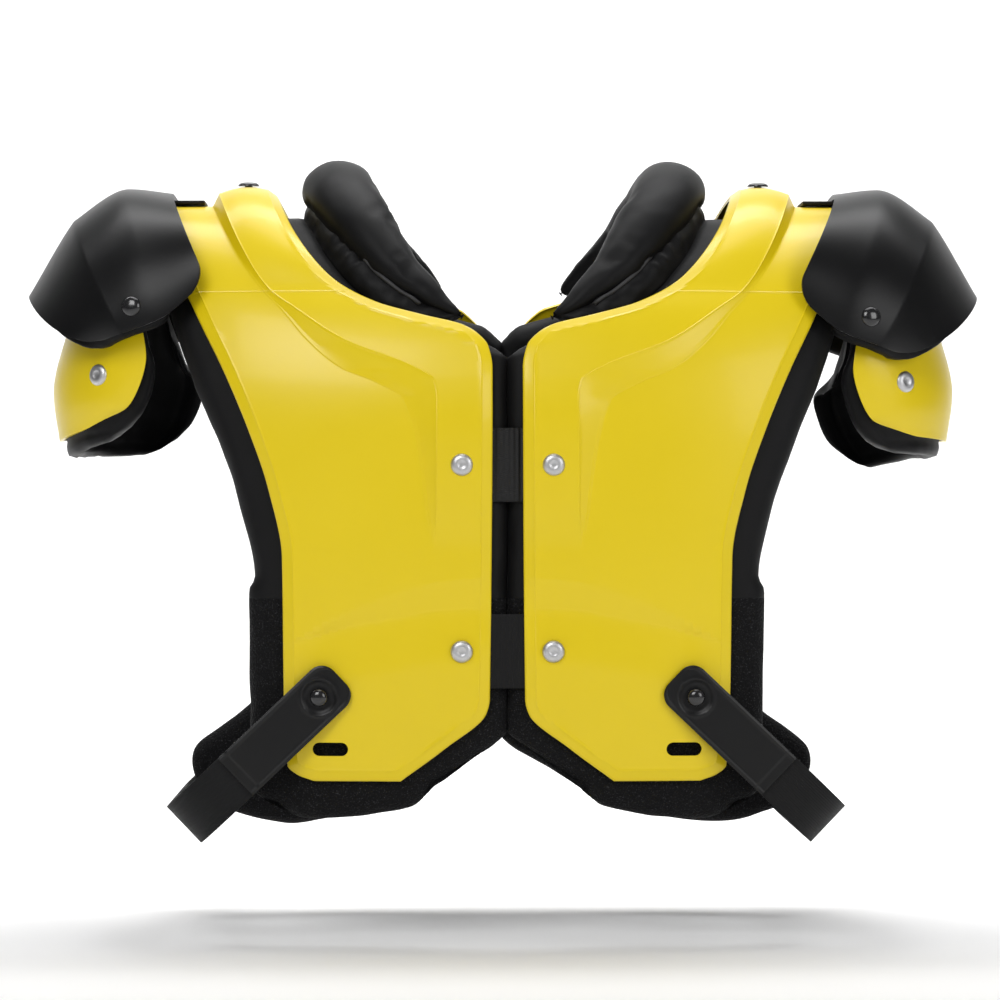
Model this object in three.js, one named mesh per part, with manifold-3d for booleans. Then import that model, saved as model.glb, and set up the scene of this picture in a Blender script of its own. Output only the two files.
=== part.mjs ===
// Football shoulder pads: two moulded body plates over foam liners, joined by elastics at the chest and
// the back, with a neck roll, an epaulet and a shoulder cup on each side and a belt under each arm.
// Millimetres, +Z up, the chest faces -Y. Left and right are as seen from the front, so left is -X.
// The origin lies between the shoulders, at the height of the liner's underside on the shoulder ridge.

import * as THREE from "three";
import { mergeVertices } from "three/addons/utils/BufferGeometryUtils.js";
import Module from "manifold-3d";

const wasm = await Module();
wasm.setup();

// Clearances
const seatGap = 0.3; // between pieces that rest on each other
const centreGap = 1.2; // between the left and right liners

// Torso form: the outer face of the liner is a hood, flat-chested in plan, rounded over at the shoulders
const chestDepth = 128; // from the shoulder ridge forward to the liner's face
const backDepth = 118; // from the shoulder ridge back to the liner's face
const torsoHalfWidth = 253;
const planPower = 2.6; // 2 would be an ellipse in plan, higher is flatter
const shoulderFall = 143; // height over which the chest turns over into the shoulder
const fallPower = 2.2;
const waistTuck = 9; // how far the hem leans back towards the body

// Liner, plates and elastics
const linerThickness = 18;
const plateThickness = 3.2;
const elasticThickness = 2;
const rivetFlange = 1.2; // thickness of a rivet's clenched inner end
const plateStandoff = elasticThickness + rivetFlange + 3 * seatGap;

// Body plate, seen from the front
const plateReach = 208; // half width at the shoulder ridge
const chestLength = 348; // from the ridge down to the hem of the chest plate
const backLength = 370;
const bridgeRise = 8; // raised band that runs over the shoulder beside the neck
const bridgeCrown = 4; // extra height in the middle of that band
const bridgeFade = 0.2; // share of the back plate's length over which the band runs out
const crownFade = 0.16; // the same for its extra height
const backFoot = 0.46; // foot and crest of the step on the back, as shares from armhole to neck
const backCrest = 0.5;

// Liner borders that show round the plate
const armholeBorder = 18;
const neckBorder = 21.2;
const centreBorder = 8;
const hemBorder = 22;
const backLobe = 40; // how far the back liner swings out past its plate at the hem
const backHemRise = 14; // how much shorter the back liner is at the middle
const frontHemRise = 12; // how much the front liner's hem is rounded up at the middle
const hemRound = 3; // how late that rounding begins, as a power
const ridgeBorder = 0.1; // share of the armhole border at the ridge
const borderGrowth = 3; // how fast that share grows down the plate

// Chest and back elastics
const elasticWidth = 44;
const elasticHalfLength = 40;
const upperElasticDrop = 161;
const lowerElasticDrop = 271;
const elasticRivetOut = 27;

// Rivets
const rivetHeadRadius = 6.6;
const rivetHeadHeight = 2.6;
const rivetShankRadius = 2.4;
const rivetFlangeRadius = 4.6;
const rivetHoleGap = 0.4;
const rivetShoulder = { reach: 0.78, rise: 0.72 }; // where a head turns over, as shares of its size
const buttonRadius = 6.2;
const buttonHeight = 3.4;
const beltStudRadius = 5.4;
const beltStudHeight = 4.6;

// Lower slot of the chest plate
const slotLength = 21;
const slotHeight = 8;
const slotOut = 104.5;
const slotDrop = 329;

// Neck roll
const neckRollRadius = 25;
const neckRollFlat = 0.84; // its height against its width
const neckRollBackReach = 0.62; // how far down the back it runs, against the chest

// Epaulet, the hard cap over the shoulder
const epauletThickness = 3;
const epauletLap = 4; // how far its inner edge lies over the plate
const epauletInner = plateReach - epauletLap;
const epauletReach = 91; // from its inner edge out to its rim
const epauletTop = 35.6;
const epauletFall = 98; // from its top down to the lowest point of its edge
const epauletDepth = 104; // half of its length from front to back
const epauletPadThickness = 5;
const epauletPadEase = 0.2; // extra room between the epaulet and its pad
const epauletPadEdge = 5; // how far the pad shows below the rim
const epauletPadPast = 2; // degrees that the pad sweeps past the cap's front and back ends

// Shoulder cup, the hard shell below the epaulet
const cupThickness = 3;
const cupStep = 12; // from the epaulet's inner edge out to the cup's
const cupInner = epauletInner + cupStep;
const cupReach = 62;
const cupTop = 18.6;
const cupFall = 139;
const cupDepth = 82;
const cupPadThickness = 9;
const cupPadEdge = 10;
const cupPadPast = 8; // degrees that the lining sweeps past the cup's front end
const cupPadRear = 26; // degrees that it sweeps past the back end, behind the arm
const cupPadEase = 1.3; // extra room between the cup and its pad
const cupPadHang = 8; // how far its rear corner hangs below the rim
const bowPower = 1.7; // how late a bowed section falls away from its middle
const undercutEase = 1.25; // share of its inset that a pad keeps from the front and back of its cap

// Looseness of the straps
const leftSag = 0; // how far the caps hang down at their front and back edges
const rightSag = 7;
const leftSwing = 3; // how far the caps have swung round: front edges outwards, back edges inwards
const rightSwing = -4;

// Webbing between the bridge and the cap
const webbingWidth = 38;
const webbingThickness = 2;
const webbingLap = 24; // how far it lies on the plate
const webbingInner = plateReach - webbingLap;
const webbingDip = 3.4; // how much lower it lies than the pad's middle, clear of the pad's curve
const webbingBend = 4; // from the plate's edge out to where the webbing has dropped under the pad
const webbingDrop = 0.7; // share of the way down to the pad at which it bends
const webbingEnds = [0.3, 0.4]; // shares of the epaulet's width that it runs on under the pad

// Belt: a firm strap on the chest plate, and an elastic that loops back under the arm
const beltWidth = 30;
const beltThickness = 2.5;
const beltOut = 111;
const beltDrop = 298;
const beltSlope = 43.6; // degrees below the horizontal
const beltTongue = 17; // from the stud to the rounded end
const beltCorner = 0.55; // rounding of that end, as a share of its length
const beltStrapLength = 68; // from the stud to the end of the firm strap
const beltLap = 20; // how far the elastic runs under the firm strap
const beltReach = 113; // from the stud out to the far side of the loop
const beltBend = 40;
const beltBackBend = 24;
const beltSegments = 5; // steps in each bend

// Outlines of the plate, a row for each point where the edge turns.
// drop is a share of the plate's length, reach a share of plateReach.
const armholeEdge = [
  { drop: 0, reach: 1 },
  { drop: 0.1, reach: 0.962 },
  { drop: 0.2, reach: 0.889 },
  { drop: 0.3, reach: 0.808 },
  { drop: 0.405, reach: 0.735 },
  { drop: 0.506, reach: 0.678 },
  { drop: 0.62, reach: 0.64 },
  { drop: 0.86, reach: 0.635 },
  { drop: 0.974, reach: 0.625 },
  { drop: 0.99, reach: 0.596 },
  { drop: 1, reach: 0.55 },
];
const neckEdge = [
  { drop: 0, reach: 0.671 },
  { drop: 0.066, reach: 0.61 },
  { drop: 0.138, reach: 0.505 },
  { drop: 0.184, reach: 0.37 },
  { drop: 0.207, reach: 0.24 },
  { drop: 0.224, reach: 0.13 },
  { drop: 0.24, reach: 0.085 },
  { drop: 0.262, reach: 0.055 },
  { drop: 0.3, reach: 0.043 },
  { drop: 0.86, reach: 0.05 },
  { drop: 0.885, reach: 0.06 },
  { drop: 0.945, reach: 0.178 },
  { drop: 1, reach: 0.303 },
];
// Foot and crest of the step between the panels, with the height of the crest as a share of bridgeRise
const stepLines = [
  { drop: 0, foot: 0.865, crest: 0.846, rise: 1 },
  { drop: 0.1, foot: 0.775, crest: 0.758, rise: 0.5 },
  { drop: 0.164, foot: 0.697, crest: 0.68, rise: 0.2 },
  { drop: 0.2, foot: 0.639, crest: 0.6, rise: 0.3 },
  { drop: 0.253, foot: 0.563, crest: 0.466, rise: 0.45 },
  { drop: 0.3, foot: 0.466, crest: 0.27, rise: 0.5 },
  { drop: 0.322, foot: 0.375, crest: 0.212, rise: 0.5 },
  { drop: 0.354, foot: 0.288, crest: 0.202, rise: 0.5 },
  { drop: 0.44, foot: 0.25, crest: 0.202, rise: 0.4 },
  { drop: 0.523, foot: 0.231, crest: 0.202, rise: 0.2 },
  { drop: 0.61, foot: 0.216, crest: 0.211, rise: 0 },
  { drop: 1, foot: 0.45, crest: 0.44, rise: 0 },
];
// The back plate is plain: a wider neckline, a straight armhole and the same hem
const backArmholeEdge = [
  { drop: 0, reach: 1 },
  { drop: 0.2, reach: 0.85 },
  { drop: 0.4, reach: 0.665 },
  { drop: 0.6, reach: 0.605 },
  { drop: 0.8, reach: 0.61 },
  { drop: 0.93, reach: 0.68 },
  { drop: 0.98, reach: 0.65 },
  { drop: 1, reach: 0.6 },
];
// Swing of the back liner's corner past the plate, as a share of backLobe
const lobeSwing = [
  { drop: 0.76, swing: 0 },
  { drop: 0.82, swing: 0.6 },
  { drop: 0.88, swing: 1 },
  { drop: 0.93, swing: 0.86 },
  { drop: 0.97, swing: 0.66 },
  { drop: 1, swing: 0.4 },
];
// Neck roll: how far its middle lies inwards of the liner's neck edge and above it, and its radius,
// as shares of neckRollRadius, down the edge by shares of the plate's length
const neckRollRows = [
  { drop: 0, inward: 0.7, lift: 1, radius: 0.96 },
  { drop: 0.03, inward: 0.78, lift: 0.92, radius: 0.92 },
  { drop: 0.066, inward: 0.86, lift: 0.86, radius: 0.86 },
  { drop: 0.103, inward: 0.88, lift: 0.76, radius: 0.74 },
  { drop: 0.138, inward: 0.84, lift: 0.7, radius: 0.6 },
  { drop: 0.164, inward: 0.82, lift: 0.64, radius: 0.48 },
  { drop: 0.184, inward: 0.68, lift: 0.56, radius: 0.36 },
  { drop: 0.2, inward: 0.55, lift: 0.44, radius: 0.2 },
];
const backNeckEdge = [
  { drop: 0, reach: 0.671 },
  { drop: 0.05, reach: 0.61 },
  { drop: 0.1, reach: 0.47 },
  { drop: 0.135, reach: 0.28 },
  { drop: 0.16, reach: 0.12 },
  { drop: 0.2, reach: 0.06 },
  { drop: 0.86, reach: 0.06 },
  { drop: 0.93, reach: 0.24 },
  { drop: 1, reach: 0.44 },
];

// Caps: a row for each section from the inner edge out to the rim. out is a share of the cap's reach,
// up a share of its fall below its top, deep a share of its half depth. peak is the section's middle,
// edge its front and back end. bow says how early the section falls away from its middle.
const epauletSections = [
  { peakOut: 0, peakUp: 0.03, edgeOut: -0.31, edgeUp: 0.63, deep: 1, bow: 0 },
  { peakOut: 0.3, peakUp: 0, edgeOut: -0.01, edgeUp: 0.86, deep: 1, bow: 0 },
  { peakOut: 0.67, peakUp: 0.2, edgeOut: 0.25, edgeUp: 0.95, deep: 0.96, bow: 0.1 },
  { peakOut: 0.978, peakUp: 0.67, edgeOut: 0.41, edgeUp: 1, deep: 0.84, bow: 1 },
];
const cupSections = [
  { peakOut: 0, peakUp: 0, edgeOut: 0, edgeUp: 0.28, deep: 0.86, bow: 0 },
  { peakOut: 0.5, peakUp: 0.08, edgeOut: 0, edgeUp: 0.46, deep: 0.95, bow: 0 },
  { peakOut: 0.855, peakUp: 0.5, edgeOut: -0.05, edgeUp: 0.64, deep: 1, bow: 0 },
  { peakOut: 1, peakUp: 0.78, edgeOut: 0.1, edgeUp: 0.84, deep: 0.95, bow: 0 },
  { peakOut: 0.94, peakUp: 1, edgeOut: 0.33, edgeUp: 0.92, deep: 0.8, bow: 0 },
];

// Facets that carry the cap rivets, counted from the inner edge and from the cap's front or back end
const epauletRivet = { step: 3, turn: 0 };
const cupRivet = { step: 4, turn: 1 };
const epauletPadStart = 0.2; // share of the cap's width at which its pad begins
const cupPadStart = 0.05;

// Steps of the faceted surfaces
const capSteps = 7;
const capTurns = 10; // steps from a cap's front end to its back end
const rollSteps = 12;
const rollSides = 8;
const roundSides = 8;
const rollStep = 0.02; // between the two points that give the roll's direction
const curveSteps = 5; // steps in each rounded corner
const linerColumns = [0, 0.25, 0.5, 0.75, 1]; // from the armhole to the neck
const weld = 1e-3; // points closer together than this are one point
const closestRows = 0.006; // shares of a plate's length between the rows of points on it
const furthestRows = 0.12;

const blackPlastic = { color: 0x141415, roughness: 0.35, metalness: 0 };
const yellowPlastic = { color: 0xe8cf22, roughness: 0.3, metalness: 0 };
const blackCloth = { color: 0x101010, roughness: 0.9, metalness: 0 };
const blackElastic = { color: 0x0d0d0d, roughness: 0.8, metalness: 0 };
const steel = { color: 0xb8babd, roughness: 0.25, metalness: 1 };
const blackSteel = { color: 0x121212, roughness: 0.2, metalness: 0.6 };

// Value of one column of a table at a place between its rows: a smooth curve that never overshoots
function eased(table, key, column, at) {
  const last = table.length - 1;
  if (at <= table[0][key]) return table[0][column];
  if (at >= table[last][key]) return table[last][column];
  const i = table.findIndex((row, n) => n < last && at < table[n + 1][key]);
  const slope = (n) => {
    if (n < 0 || n >= last) return null;
    return (table[n + 1][column] - table[n][column]) / (table[n + 1][key] - table[n][key]);
  };
  const tangent = (n) => {
    const before = slope(n - 1);
    const after = slope(n);
    if (before === null) return after;
    if (after === null) return before;
    return before * after <= 0 ? 0 : (2 * before * after) / (before + after);
  };
  const span = table[i + 1][key] - table[i][key];
  const t = (at - table[i][key]) / span;
  const rise = table[i + 1][column] - table[i][column];
  const a = tangent(i) * span;
  const b = tangent(i + 1) * span;
  return table[i][column] + a * t + (3 * rise - 2 * a - b) * t * t + (a + b - 2 * rise) * t * t * t;
}

const mix = (a, b, t) => a + (b - a) * t;
const clamp01 = (value) => Math.min(1, Math.max(0, value));

// Torso form. face is +1 on the chest and -1 on the back, offset is measured outwards from the liner's face.
const FRONT = 1;
const BACK = -1;

function torsoPoint(x, drop, face, offset) {
  const depth = (face === FRONT ? chestDepth : backDepth) + offset;
  const length = face === FRONT ? chestLength : backLength;
  const plan = Math.pow(1 - Math.pow(Math.abs(x) / (torsoHalfWidth + offset), planPower), 1 / planPower);
  const fall = shoulderFall + plateStandoff + plateThickness;
  const turned = clamp01(drop / fall);
  const over = Math.pow(1 - Math.pow(1 - turned, fallPower), 1 / fallPower);
  const below = Math.max(0, drop - fall) / (length - fall);
  const top = linerThickness + offset;
  const z = top - turned * (shoulderFall + offset) - Math.max(0, drop - fall);
  return new THREE.Vector3(x, -face * (depth * plan * over - waistTuck * below * below), z);
}

// Outward normal of the torso form, by small differences
function torsoNormal(x, drop, face, offset) {
  const step = 0.5;
  const safe = Math.max(drop, 2 * step);
  const across = torsoPoint(x + step, safe, face, offset).sub(torsoPoint(x - step, safe, face, offset));
  const down = torsoPoint(x, safe + step, face, offset).sub(torsoPoint(x, safe - step, face, offset));
  return across.cross(down).multiplyScalar(-face).normalize();
}

// Geometry from a closed set of quads and polygons that is given as points
function geometryFrom(triangles) {
  const geometry = new THREE.BufferGeometry();
  const flat = triangles.flatMap((corner) => [corner.x, corner.y, corner.z]);
  geometry.setAttribute("position", new THREE.Float32BufferAttribute(flat, 3));
  return mergeVertices(geometry, weld);
}

// A wall between two equal grids of points, outer[row][column] and inner[row][column]
function wallGeometry(outer, inner) {
  const triangles = [];
  const apart = (a, b) => a.distanceTo(b) > weld;
  const triangle = (a, b, c) => {
    if (apart(a, b) && apart(a, c) && apart(b, c)) triangles.push(a, b, c);
  };
  const quad = (a, b, c, d) => {
    triangle(a, b, c);
    triangle(a, c, d);
  };
  const rows = outer.length - 1;
  const columns = outer[0].length - 1;
  for (let r = 0; r < rows; r++)
    for (let c = 0; c < columns; c++) {
      quad(outer[r][c], outer[r][c + 1], outer[r + 1][c + 1], outer[r + 1][c]);
      quad(inner[r + 1][c], inner[r + 1][c + 1], inner[r][c + 1], inner[r][c]);
    }
  for (let r = 0; r < rows; r++) {
    quad(outer[r][0], outer[r + 1][0], inner[r + 1][0], inner[r][0]);
    quad(outer[r + 1][columns], outer[r][columns], inner[r][columns], inner[r + 1][columns]);
  }
  for (let c = 0; c < columns; c++) {
    quad(outer[0][c + 1], outer[0][c], inner[0][c], inner[0][c + 1]);
    quad(outer[rows][c], outer[rows][c + 1], inner[rows][c + 1], inner[rows][c]);
  }
  return outward(geometryFrom(triangles));
}

// Turns every face round if the body is inside out
function outward(geometry) {
  const position = geometry.attributes.position;
  const index = geometry.index.array;
  const corner = (n) => new THREE.Vector3().fromBufferAttribute(position, index[n]);
  const firsts = Array.from({ length: index.length / 3 }, (_, n) => 3 * n);
  const volume = firsts.reduce((sum, n) => sum + corner(n).dot(corner(n + 1).cross(corner(n + 2))), 0);
  if (volume < 0) firsts.forEach((n) => ([index[n], index[n + 1]] = [index[n + 1], index[n]]));
  return geometry;
}

// Cuts holes with manifold-3d
function solidOf(geometry) {
  const bare = geometry.clone();
  bare.deleteAttribute("normal");
  bare.deleteAttribute("uv");
  const merged = mergeVertices(bare, weld);
  const triVerts = new Uint32Array(merged.index.array);
  const vertProperties = merged.attributes.position.array;
  return new wasm.Manifold(new wasm.Mesh({ numProp: 3, vertProperties, triVerts }));
}

function cut(geometry, tools) {
  const solid = tools.reduce((body, tool) => body.subtract(solidOf(tool)), solidOf(geometry));
  const mesh = solid.getMesh();
  const made = new THREE.BufferGeometry();
  made.setAttribute("position", new THREE.Float32BufferAttribute(mesh.vertProperties, 3));
  made.setIndex(new THREE.BufferAttribute(mesh.triVerts, 1));
  return made;
}

// Sorted drops at which any of the tables has a row, so that every turn of an outline has a row of points,
// with more between rows that lie far apart
function rowsOf(...tables) {
  const drops = [...new Set(tables.flat().map((row) => row.drop))].sort((a, b) => a - b);
  const apart = drops.filter((drop, n) => n === 0 || drop - drops[n - 1] > closestRows);
  return apart.flatMap((drop, n) => {
    const parts = n === 0 ? 1 : Math.ceil((drop - apart[n - 1]) / furthestRows);
    return Array.from({ length: parts }, (_, k) => mix(apart[n - 1] ?? drop, drop, (k + 1) / parts));
  });
}

// Height of the plate's relief above its plain surface
function reliefAt(share, face, column) {
  if (face === BACK) return bridgeHeight(share, column);
  const rise = eased(stepLines, "drop", "rise", share) * bridgeRise;
  return column.panel * rise + crownAt(share, column);
}

function bridgeHeight(share, column) {
  const fade = clamp01(1 - share / bridgeFade);
  return column.panel * bridgeRise * fade + crownAt(share, column);
}

const crownAt = (share, column) => column.crown * bridgeCrown * clamp01(1 - share / crownFade);

// Columns of a plate from its armhole to its neck or centre edge
const plateColumns = [
  { from: "armhole", to: "foot", at: 0, panel: 0, crown: 0 },
  { from: "armhole", to: "foot", at: 0.5, panel: 0, crown: 0 },
  { from: "armhole", to: "foot", at: 1, panel: 0, crown: 0 },
  { from: "crest", to: "neck", at: 0, panel: 1, crown: 0 },
  { from: "crest", to: "neck", at: 0.5, panel: 1, crown: 1 },
  { from: "crest", to: "neck", at: 1, panel: 1, crown: 0 },
];

function plateLines(share, face) {
  const armholeTable = face === FRONT ? armholeEdge : backArmholeEdge;
  const neckTable = face === FRONT ? neckEdge : backNeckEdge;
  const armhole = eased(armholeTable, "drop", "reach", share) * plateReach;
  const neck = eased(neckTable, "drop", "reach", share) * plateReach;
  const foot = mix(armhole, neck, backFoot);
  const crest = mix(armhole, neck, backCrest);
  if (face === BACK) {
    const ridge = stepLines[0];
    const blend = clamp01(share / bridgeFade);
    return {
      armhole,
      neck,
      foot: mix(ridge.foot * plateReach, foot, blend),
      crest: mix(ridge.crest * plateReach, crest, blend),
    };
  }
  const footLine = eased(stepLines, "drop", "foot", share) * plateReach;
  const crestLine = eased(stepLines, "drop", "crest", share) * plateReach;
  return { armhole, neck, foot: footLine, crest: crestLine };
}

function plateRow(side, share, face, offset) {
  const lines = plateLines(share, face);
  const length = face === FRONT ? chestLength : backLength;
  return plateColumns.map((column) => {
    const x = mix(lines[column.from], lines[column.to], column.at);
    return torsoPoint(side * x, share * length, face, offset + reliefAt(share, face, column));
  });
}

// Relief at a distance from the middle, read between the columns
function reliefOver(x, share, face) {
  const lines = plateLines(share, face);
  const stops = plateColumns.map((column) => ({
    x: -mix(lines[column.from], lines[column.to], column.at),
    height: reliefAt(share, face, column),
  }));
  const after = stops.findIndex((stop) => stop.x >= -x);
  if (after <= 0) return stops[after === 0 ? 0 : stops.length - 1].height;
  const [a, b] = [stops[after - 1], stops[after]];
  return mix(a.height, b.height, (-x - a.x) / (b.x - a.x));
}

function plateGeometry(side) {
  const chestRows = rowsOf(armholeEdge, neckEdge, stepLines);
  const elasticTops = [upperElasticDrop, lowerElasticDrop].map((drop) => ({
    drop: (drop - elasticWidth / 2) / backLength,
  }));
  const backRows = rowsOf(backArmholeEdge, backNeckEdge, elasticTops);
  const shell = (offset) => [
    ...backRows.slice(1).reverse().map((share) => plateRow(side, share, BACK, offset)),
    ...chestRows.map((share) => plateRow(side, share, FRONT, offset)),
  ];
  return wallGeometry(shell(plateStandoff + plateThickness), shell(plateStandoff));
}

// A liner: the plate's outline grown by its borders, from the shoulder ridge to its own hem
function linerRow(side, share, face, offset) {
  const lines = plateLines(share, face);
  const lobe = face === BACK ? backLobe * eased(lobeSwing, "drop", "swing", share) : 0;
  const neckShare = clamp01(lines.neck / (plateReach * neckEdge[0].reach));
  const inner = Math.max(centreGap / 2, lines.neck - mix(centreBorder, neckBorder, neckShare));
  const outer = lines.armhole + armholeBorder * clamp01(ridgeBorder + borderGrowth * share) + lobe;
  const length = (face === FRONT ? chestLength : backLength) + hemBorder;
  const start = centreGap / 4;
  const rise = (at) => (face === BACK ? backHemRise * at : frontHemRise * Math.pow(at, hemRound)) * share;
  return linerColumns.map((at) =>
    torsoPoint(side * mix(outer, inner, at), mix(start, length - rise(at), share), face, offset),
  );
}

function linerGeometry(side, face) {
  const tables = face === FRONT ? [armholeEdge, neckEdge] : [backArmholeEdge, backNeckEdge, lobeSwing];
  const rows = rowsOf([{ drop: 0 }], ...tables);
  const shell = (offset) => rows.map((share) => linerRow(side, share, face, offset));
  return wallGeometry(shell(0), shell(-linerThickness));
}

// A strip of elastic behind the plates
function elasticGeometry(drop, face) {
  const outer = plateStandoff - seatGap;
  const across = [-1, -0.5, 0, 0.5, 1].map((share) => share * elasticHalfLength);
  const shell = (offset) =>
    [-0.5, 0.5].map((share) => across.map((x) => torsoPoint(x, drop + share * elasticWidth, face, offset)));
  return wallGeometry(shell(outer), shell(outer - elasticThickness));
}

// Point and outward direction on the outside of a cap, along from its inner edge to its rim, turn in degrees
function capPoint(cap, side, along, turn, inset = 0) {
  const at = (a, t) => {
    const section = (column) => eased(cap.sections, "along", column, a);
    const angle = THREE.MathUtils.degToRad(t);
    const near = 1 - Math.cos(angle);
    const fallen = mix(near, Math.pow(Math.abs(Math.sin(angle)), bowPower), section("bow"));
    const out = cap.inner + cap.reach * mix(section("peakOut"), section("edgeOut"), near);
    const up = cap.top - cap.fall * mix(section("peakUp"), section("edgeUp"), fallen);
    const sag = (side < 0 ? leftSag : rightSag) * near;
    const swing = (side < 0 ? leftSwing : rightSwing) * near * Math.sign(-t);
    return new THREE.Vector3(side * (out + swing), cap.depth * section("deep") * Math.sin(angle), up - sag);
  };
  const step = 0.01;
  const safe = THREE.MathUtils.clamp(along, step, 1 - step);
  const outwards = at(safe + step, turn).sub(at(safe - step, turn));
  const round = at(safe, turn + 1).sub(at(safe, turn - 1));
  const normal = outwards.cross(round).multiplyScalar(side).normalize();
  return { point: at(along, turn).addScaledVector(normal, -inset), normal };
}

// Sections carry their place from the inner edge to the rim
const placed = (sections) => sections.map((row, n) => ({ ...row, along: n / (sections.length - 1) }));

const epaulet = {
  sections: placed(epauletSections),
  inner: epauletInner,
  reach: epauletReach,
  top: epauletTop,
  fall: epauletFall,
  depth: epauletDepth,
};
const cup = {
  sections: placed(cupSections),
  inner: cupInner,
  reach: cupReach,
  top: cupTop,
  fall: cupFall,
  depth: cupDepth,
};

// Rows of points from a cap's inner edge to its rim, and turns from its front end to its back end
const capRows = Array.from({ length: capSteps + 1 }, (_, s) => s / capSteps);
const capAngles = Array.from({ length: capTurns + 1 }, (_, t) => mix(-90, 90, t / capTurns));

function capGeometry(cap, side, thickness) {
  const row = (along, depth) => capAngles.map((turn) => capPoint(cap, side, along, turn, depth).point);
  const shell = (depth) => capRows.map((along) => row(along, depth));
  return wallGeometry(shell(0), shell(thickness));
}

// Middle of one facet of a cap, from either end, where a rivet sits flat
function capFacet(cap, side, facet, end) {
  const corner = (s, t) => capPoint(cap, side, s / capSteps, end * mix(90, -90, t / capTurns)).point;
  const { step, turn } = facet;
  const [a, b] = [corner(step, turn), corner(step + 1, turn + 1)];
  const [c, d] = [corner(step + 1, turn), corner(step, turn + 1)];
  const point = a.clone().add(b).add(c).add(d).divideScalar(4);
  const normal = b.sub(a).cross(d.sub(c)).normalize();
  return { point, normal: normal.dot(point) < 0 ? normal.negate() : normal };
}

// The same cap shape, smaller all round by an inset
function smallerCap(cap, inset) {
  const depth = cap.depth - inset * undercutEase;
  return { ...cap, reach: cap.reach - inset, depth, top: cap.top - inset, fall: cap.fall - inset };
}

// The pad of a cap sweeps on past the cap's front and back ends and hangs below its rim
function padPoint(cap, side, along, turn, inset, reach) {
  const { point } = capPoint(smallerCap(cap, inset), side, along, turn);
  const behind = turn > 0 ? 1 - Math.cos(THREE.MathUtils.degToRad(turn)) : 0;
  if (along === 1) point.z -= reach.edge + reach.hang * behind;
  return point;
}

// Its points lie on the same rows and turns as the cap's own, so that the space between them stays even
function padGeometry(cap, side, inset, thickness, from, reach) {
  const rows = [from, ...capRows.filter((along) => along > from)];
  const goesFar = reach.rear > 180 / capTurns;
  const rear = goesFar ? [90, 90 + reach.rear / 2, 90 + reach.rear] : [90 + reach.rear];
  const turns = [-90 - reach.front, ...capAngles.slice(1, -1), ...rear];
  const row = (along, depth) => turns.map((turn) => padPoint(cap, side, along, turn, depth, reach));
  const shell = (depth) => rows.map((along) => row(along, depth));
  return wallGeometry(shell(inset), shell(inset + thickness));
}

// The neck roll follows the neck edge of the liner from the chest over the ridge to the back
function neckRollGeometry(side) {
  const stations = Array.from({ length: rollSteps + 1 }, (_, n) => mix(-1, 1, n / rollSteps));
  const end = neckRollRows[neckRollRows.length - 1].drop;
  const middle = (station) => {
    const face = station < 0 ? FRONT : BACK;
    const drop = Math.abs(station) * end;
    const row = linerRow(side, drop * (face === FRONT ? 1 : neckRollBackReach), face, -linerThickness / 2);
    const edge = row[row.length - 1];
    const share = (column) => neckRollRadius * eased(neckRollRows, "drop", column, drop);
    const centre = new THREE.Vector3(edge.x - side * share("inward"), edge.y, edge.z + share("lift"));
    return { centre, radius: share("radius") };
  };
  const rings = stations.map((station) => {
    const here = middle(station);
    const ahead = middle(Math.min(1, station + rollStep)).centre;
    const behind = middle(Math.max(-1, station - rollStep)).centre;
    const along = ahead.sub(behind).normalize();
    const sideways = new THREE.Vector3(0, 0, 1).cross(along).normalize();
    const up = along.clone().cross(sideways).normalize();
    return Array.from({ length: rollSides + 1 }, (_, n) => {
      const angle = (2 * Math.PI * (n % rollSides)) / rollSides;
      return here.centre
        .clone()
        .addScaledVector(sideways, here.radius * Math.cos(angle))
        .addScaledVector(up, here.radius * neckRollFlat * Math.sin(angle));
    });
  });
  const triangles = [];
  for (let r = 0; r < rings.length - 1; r++)
    for (let n = 0; n < rollSides; n++) {
      triangles.push(rings[r][n], rings[r][n + 1], rings[r + 1][n + 1]);
      triangles.push(rings[r][n], rings[r + 1][n + 1], rings[r + 1][n]);
    }
  [rings[0], rings[rings.length - 1]].forEach((ring, end) => {
    const hub = ring.slice(0, rollSides).reduce((sum, p) => sum.add(p), new THREE.Vector3());
    hub.divideScalar(rollSides);
    for (let n = 0; n < rollSides; n++)
      triangles.push(...(end === 0 ? [ring[n + 1], ring[n], hub] : [ring[n], ring[n + 1], hub]));
  });
  return outward(geometryFrom(triangles));
}

// Webbing from under the bridge, over the plate's shoulder, and out between the epaulet's pad and the cup
function webbingGeometry(side) {
  const plateTop = linerThickness + plateStandoff + plateThickness;
  const onPlate = plateTop + seatGap + webbingThickness;
  const padInside = epauletThickness + rivetFlange + 4 * seatGap + epauletPadEase + epauletPadThickness;
  const underPad = (along) => {
    const { point } = capPoint(smallerCap(epaulet, padInside + webbingDip), side, along, 0);
    return { out: Math.abs(point.x), up: point.z };
  };
  const start = underPad(epauletPadStart);
  const route = [
    { out: webbingInner, up: onPlate },
    { out: plateReach, up: onPlate },
    { out: plateReach + webbingBend, up: mix(onPlate, start.up, webbingDrop) },
    start,
    ...webbingEnds.map(underPad),
  ];
  const shell = (drop) =>
    route.map(({ out, up }) =>
      [-0.5, 0.5].map((share) => new THREE.Vector3(side * out, share * webbingWidth, up - drop)),
    );
  return wallGeometry(shell(0), shell(webbingThickness));
}

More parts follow.
